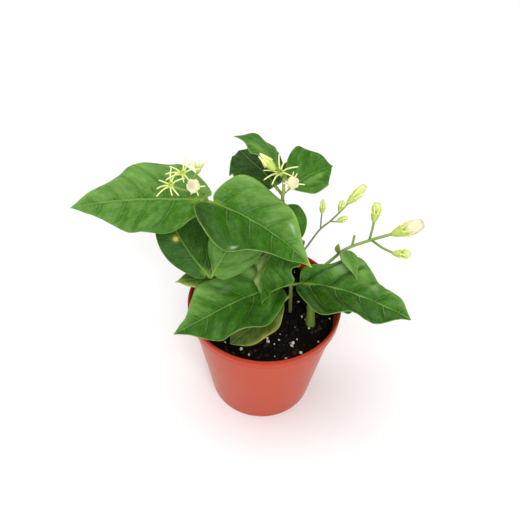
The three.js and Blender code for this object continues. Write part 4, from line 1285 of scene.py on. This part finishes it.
class JASMINE_OT_leaves(bpy.types.Operator):
    """Builds every leaf with its petiole, midrib, side veins and waved margin"""

    bl_idname = "jasmine.leaves"
    bl_label = "Leaves"

    def execute(self, context):
        settings = context.scene.jasmine_leaves
        greens = (settings.deep, settings.middle, settings.light)
        finishes = {
            "glossy_leaf": (*greens, 0.42),
            "dark_leaf": (*greens, 0.45),
            "yellow_leaf": ("#24350f", "#4c6328", "#8fa544", 0.45),
        }
        for name, shape in LEAVES.items():
            leaf = {**LEAF_DEFAULTS, **shape}
            look = {**PLAIN_LOOK, **LEAF_LOOKS.get(name, {})}
            slot = leaf["finish"]
            finish = shared_finish(slot, leaf_finish, slot, settings, *finishes[slot])
            points, faces, fields = leaf_skin(leaf, look, settings)
            add_piece("fine_" + name, points, faces, finish, name, fields)
        return {"FINISHED"}


# Flowers.

STALK_SHARE = 0.8
CALYX_RADIUS = 2.0
CALYX_WALL = 0.6
CALYX_HEIGHT = 3
CALYX_FLOOR = 1.2
LOBE_RADIUS = 0.6
LOBE_TIP_RADIUS = 0.35
LOBE_GAP = 0.2
LOBE_ROOT = 0.35
LOBE_LEGS = ((0, 1), (0.3, 0.75), (0.65, 0.9), (1, 1))  # share of its length, share of its lean
LOBE_SIDES = 10
LOBE_STEPS = 14
BUD_RIDGES = 5
BUD_RIDGE = 0.09
BUD_TWIST = 0.22
BUD_OVERLAP = 0.16
BUD_TIP = 0.8  # share of the length from which a bud browns
BUD_STEPS = 40
NECK_WALL = 0.7
NECK_SHARE = 0.86
NECK_SHOWING = 0.8
CALYX_SIDES = 24
STALK_SIDES = 12

# How ripe each bud is, from 0, yellow-green, to 1, cream; how brown its tip is; how much
# lilac lies on its petal edges, partly the bud's own tinge and partly painted shade where
# each petal tucks under the next; and how loosely its petals are wound.
YOUNG_BUD = dict(ripe=0, brown=0.5, lilac=0, loose=1)
BUD_LOOKS = {
    "bud_left": dict(ripe=1),
    "bud_top": dict(ripe=0.9, brown=0.25),
    "bud_right_open": dict(ripe=1, lilac=0.5, loose=1.8),
}


def bud_seat(size):
    """Radius and foot of a bud's neck in a calyx of this size, and where it begins to swell."""
    neck = (CALYX_RADIUS * size - NECK_WALL) * NECK_SHARE - SEAT_GAP
    return neck, CALYX_FLOOR * size + SEAT_GAP, CALYX_HEIGHT * size + NECK_SHOWING


def bud_swell(k):
    """How much of its belly a bud has at k of its length above the calyx."""
    return max(0, math.sin(math.pi * k**0.9)) ** 0.7


def bud_reach(bud, size, height):
    """How far the bud in a calyx reaches out at a height above the foot of the calyx."""
    neck, _, mouth = bud_seat(size)
    k = min(1, max(0, (height - mouth) / (bud["length"] - mouth)))
    return mix(neck, bud["belly"], bud_swell(k)) * (1 + BUD_RIDGE)


def lobe_radius(k, broad):
    """Radius of a calyx lobe, which is broad below and narrows to a point."""
    belly = mix(broad, 1, k) if broad < 2 else mix(broad, 0.8, k**2)
    return belly * mix(LOBE_RADIUS, LOBE_TIP_RADIUS, k) * (1 if k < 0.99 else 0.4)


def add_calyx(shell, start, end, lobes, lobe_length, spread, size=1, bud=None):
    """Adds a cup with its ring of narrow lobes, which lie round its bud if it has one."""
    radius, height, floor = CALYX_RADIUS * size, CALYX_HEIGHT * size, CALYX_FLOOR * size
    rim = radius - CALYX_WALL
    cup = [
        (0.05, -0.4 * height), (0.35 * radius, -0.4 * height), (0.75 * radius, 0.1 * height),
        (radius, 0.75 * height), (radius, height), (rim, height), (rim, floor), (0.05, floor),
    ]
    points, faces = lathe(round_profile(cup, 0.8, 3), CALYX_SIDES)
    shell.add(aimed(points, start, end), faces, reach=(0.5, 0, 0))
    broad = 2.1 if spread < 0 else 1.5 if bud and spread < 20 else 1.6 if bud and lobes > 6 else 1
    for i in range(lobes):  # no two lobes are quite alike
        turn = FULL_TURN * (i + 0.3 * math.sin(2.4 * i)) / lobes
        reach = lobe_length * (1 + 0.15 * math.sin(3.7 * i + 1))
        lean = math.radians(spread + 8 * math.sin(2.1 * i))

        def point(along, tilt):
            z = 0.8 * height + along * math.cos(tilt)
            clear = bud_reach(bud, size, z) + 0.7 * LOBE_RADIUS + LOBE_GAP if bud and along else 0
            out = max(radius - LOBE_ROOT + along * math.sin(tilt), clear)
            return out * math.cos(turn), out * math.sin(turn), z

        legs = [point(far * reach, share * lean) for far, share in LOBE_LEGS]
        route = Route(aimed(legs, start, end))
        points, faces, along = tube(route, lambda k: lobe_radius(k, broad), LOBE_SIDES, LOBE_STEPS)
        shell.add(points, faces, reach=three(0.55 + 0.45 * along, 0, 0))


def add_stalk(shell, points, radius, tint=0.0):
    """Adds a flower stalk; the tint makes it duller towards its foot."""
    route = Route(points)
    points, faces, along = tube(route, lambda k: radius, STALK_SIDES, max(6, int(route.length)))
    shell.add(points, faces, reach=three(0.25 * along, tint * (1 - 0.4 * along), 0))


class JASMINE_OT_clusters(bpy.types.Operator):
    """Builds the flower stalks and the star-shaped calyces"""

    bl_idname = "jasmine.clusters"
    bl_label = "Stalks and Calyces"

    def execute(self, context):
        finish = shared_finish("calyx", calyx_finish, context.scene.jasmine_flowers)
        for name, cluster in CLUSTERS.items():
            shell = Shell()
            tint = cluster.get("dull", 0)
            start = seat_on(cluster, cluster["peduncle"][0], 0, -0.5)
            add_stalk(shell, [start, *cluster["peduncle"]], cluster["radius"], tint)
            for route in cluster["stalks"]:
                add_stalk(shell, route, STALK_SHARE * cluster["radius"], 0.5 * tint)
            for calyx in cluster["calyces"]:
                add_calyx(shell, **calyx)
            shell.piece("fine_" + name, finish, name, "calyx")
        return {"FINISHED"}


def bud_skin(start, end, bud, look, size):
    """A bud of petals wound over each other, which stands in its calyx."""
    neck, seat, mouth = bud_seat(size)
    sides = 12 * BUD_RIDGES
    angles = np.linspace(0, FULL_TURN, sides, endpoint=False)
    rings, folds, flush = [], [], []
    for k in [-0.1, *np.linspace(0, 1, BUD_STEPS + 1)]:
        share = max(k, 0)
        radius = mix(neck, bud["belly"], bud_swell(share)) if k < 1 else 0.25 * neck
        height = mouth + (bud["length"] - mouth) * k if k >= 0 else seat
        petal = (BUD_RIDGES * (angles / FULL_TURN + BUD_TWIST * share)) % 1
        depth = BUD_OVERLAP * look["loose"] * math.sin(math.pi * min(1, share**0.8))
        wound = radius * (1 + depth * (0.5 - petal) - 0.08 * (look["loose"] - 1))
        # Lilac: partly the bud's own tinge, partly painted shade where each petal tucks under the
        # next.
        lilac = look["lilac"] * np.maximum(0, petal - 0.6) / 0.4 * share
        rings.append(three(wound * np.cos(angles), wound * np.sin(angles), height))
        folds.append(three(share, petal, look["ripe"]))
        brown = look["brown"] * max(0, share - BUD_TIP) / (1 - BUD_TIP)
        flush.append(three(brown, lilac, 0))
    points = aimed(np.concatenate(rings), start, end)
    fields = {"fold": np.concatenate(folds), "flush": np.concatenate(flush)}
    return points, band_faces(len(rings), sides), fields


class JASMINE_OT_buds(bpy.types.Operator):
    """Builds the buds in their calyces"""

    bl_idname = "jasmine.buds"
    bl_label = "Flower Buds"

    def execute(self, context):
        finish = shared_finish("petals", petal_finish, context.scene.jasmine_flowers)
        for calyx in (calyx for cluster in CLUSTERS.values() for calyx in cluster["calyces"]):
            if "bud" not in calyx:
                continue
            bud, size = calyx["bud"], calyx.get("size", 1)
            look = {**YOUNG_BUD, **BUD_LOOKS.get(bud["name"], {})}
            points, faces, fields = bud_skin(calyx["start"], calyx["end"], bud, look, size)
            add_piece("fine_" + bud["name"], points, faces, finish, bud["name"], fields)
        return {"FINISHED"}


# Stage.

TARGET = Vector((-4.5 * MM, 0.0, 132 * MM))
FLOOR_REACH = 4000
FLOOR_DROP = 0.2
LAMP_AIM = Vector((0, 0, 0.1))
LAMPS = {  # place and size in metres, and power in watts
    "overhead_lamp": ((-0.5, 0.3, 2.6), 2.6, 34),
    "front_lamp": ((0.3, -1.8, 1.9), 1.6, 39),
}
ROOM_LIGHT = 0.5


def add_lamp(name, place, size, power):
    """A round soft lamp that shines on the plant."""
    lamp = bpy.data.lights.new(name, "AREA")
    lamp.shape = "DISK"
    lamp.size = size
    lamp.energy = power
    holder = bpy.data.objects.new(name, lamp)
    holder.location = place
    holder.rotation_euler = (LAMP_AIM - Vector(place)).to_track_quat("-Z", "Y").to_euler()
    bpy.context.scene.collection.objects.link(holder)


class JASMINE_OT_stage(bpy.types.Operator):
    """Sets the floor, the soft lamps and the camera"""

    bl_idname = "jasmine.stage"
    bl_label = "Stage"

    def execute(self, context):
        scene, stage = context.scene, context.scene.jasmine_stage
        far = FLOOR_REACH
        sides = ((-far, -far), (far, -far), (far, far), (-far, far))
        floor = new_object("studio_floor", [(*side, -FLOOR_DROP) for side in sides], [(0, 1, 2, 3)])
        floor.data.materials.append(shared_finish("studio_floor", floor_finish, stage))

        world = bpy.data.worlds.new("pale_room")
        world.use_nodes = True
        sky = world.node_tree.nodes["Background"]
        sky.inputs["Color"].default_value = (1.0, 1.0, 1.0, 1.0)
        sky.inputs["Strength"].default_value = ROOM_LIGHT
        scene.world = world
        for name, lamp in LAMPS.items():
            add_lamp(name, *lamp)
        scene.view_settings.view_transform = "Standard"
        scene.view_settings.look = "None"

        ahead = Vector((0, math.cos(stage.elevation), -math.sin(stage.elevation)))
        level = Vector((1, 0, 0))
        above = level.cross(ahead)
        right = math.cos(stage.roll) * level + math.sin(stage.roll) * above
        up = -math.sin(stage.roll) * level + math.cos(stage.roll) * above
        lens = bpy.data.cameras.new("photo_camera")
        lens.sensor_width = SENSOR_WIDTH
        lens.lens = stage.lens
        lens.clip_start = 0.01
        camera = bpy.data.objects.new("photo_camera", lens)
        turn = Matrix((right, up, -ahead)).transposed().to_4x4()
        camera.matrix_world = Matrix.Translation(TARGET - ahead * stage.distance) @ turn
        scene.collection.objects.link(camera)
        scene.camera = camera
        return {"FINISHED"}


# Panel, registration and run.

OPERATORS = (
    JASMINE_OT_stage, JASMINE_OT_pot, JASMINE_OT_soil, JASMINE_OT_stems, JASMINE_OT_leaves,
    JASMINE_OT_clusters, JASMINE_OT_buds,
)
SETTINGS = {
    "jasmine_pot": PotSettings,
    "jasmine_soil": SoilSettings,
    "jasmine_leaves": LeafSettings,
    "jasmine_flowers": FlowerSettings,
    "jasmine_stage": StageSettings,
}


class JASMINE_PT_panel(bpy.types.Panel):
    """Sizes, colours and steps of the potted jasmine"""

    bl_label = "Potted Jasmine"
    bl_idname = "JASMINE_PT_panel"
    bl_space_type = "VIEW_3D"
    bl_region_type = "UI"
    bl_category = "Jasmine"

    def draw(self, context):
        for name, group in SETTINGS.items():
            box = self.layout.box()
            box.label(text=group.__doc__)
            for prop in group.__annotations__:
                box.prop(getattr(context.scene, name), prop)
        for operator in OPERATORS:
            self.layout.operator(operator.bl_idname)


def register():
    for cls in (*SETTINGS.values(), *OPERATORS, JASMINE_PT_panel):
        bpy.utils.register_class(cls)
    for name, group in SETTINGS.items():
        setattr(bpy.types.Scene, name, bpy.props.PointerProperty(type=group))


def unregister():
    for name in SETTINGS:
        delattr(bpy.types.Scene, name)
    for cls in reversed((*SETTINGS.values(), *OPERATORS, JASMINE_PT_panel)):
        bpy.utils.unregister_class(cls)


def main():
    register()
    bpy.ops.jasmine.stage()
    bpy.ops.jasmine.pot()
    bpy.ops.jasmine.soil()
    bpy.ops.jasmine.stems()
    bpy.ops.jasmine.leaves()
    bpy.ops.jasmine.clusters()
    bpy.ops.jasmine.buds()


if __name__ == "__main__":
    main()
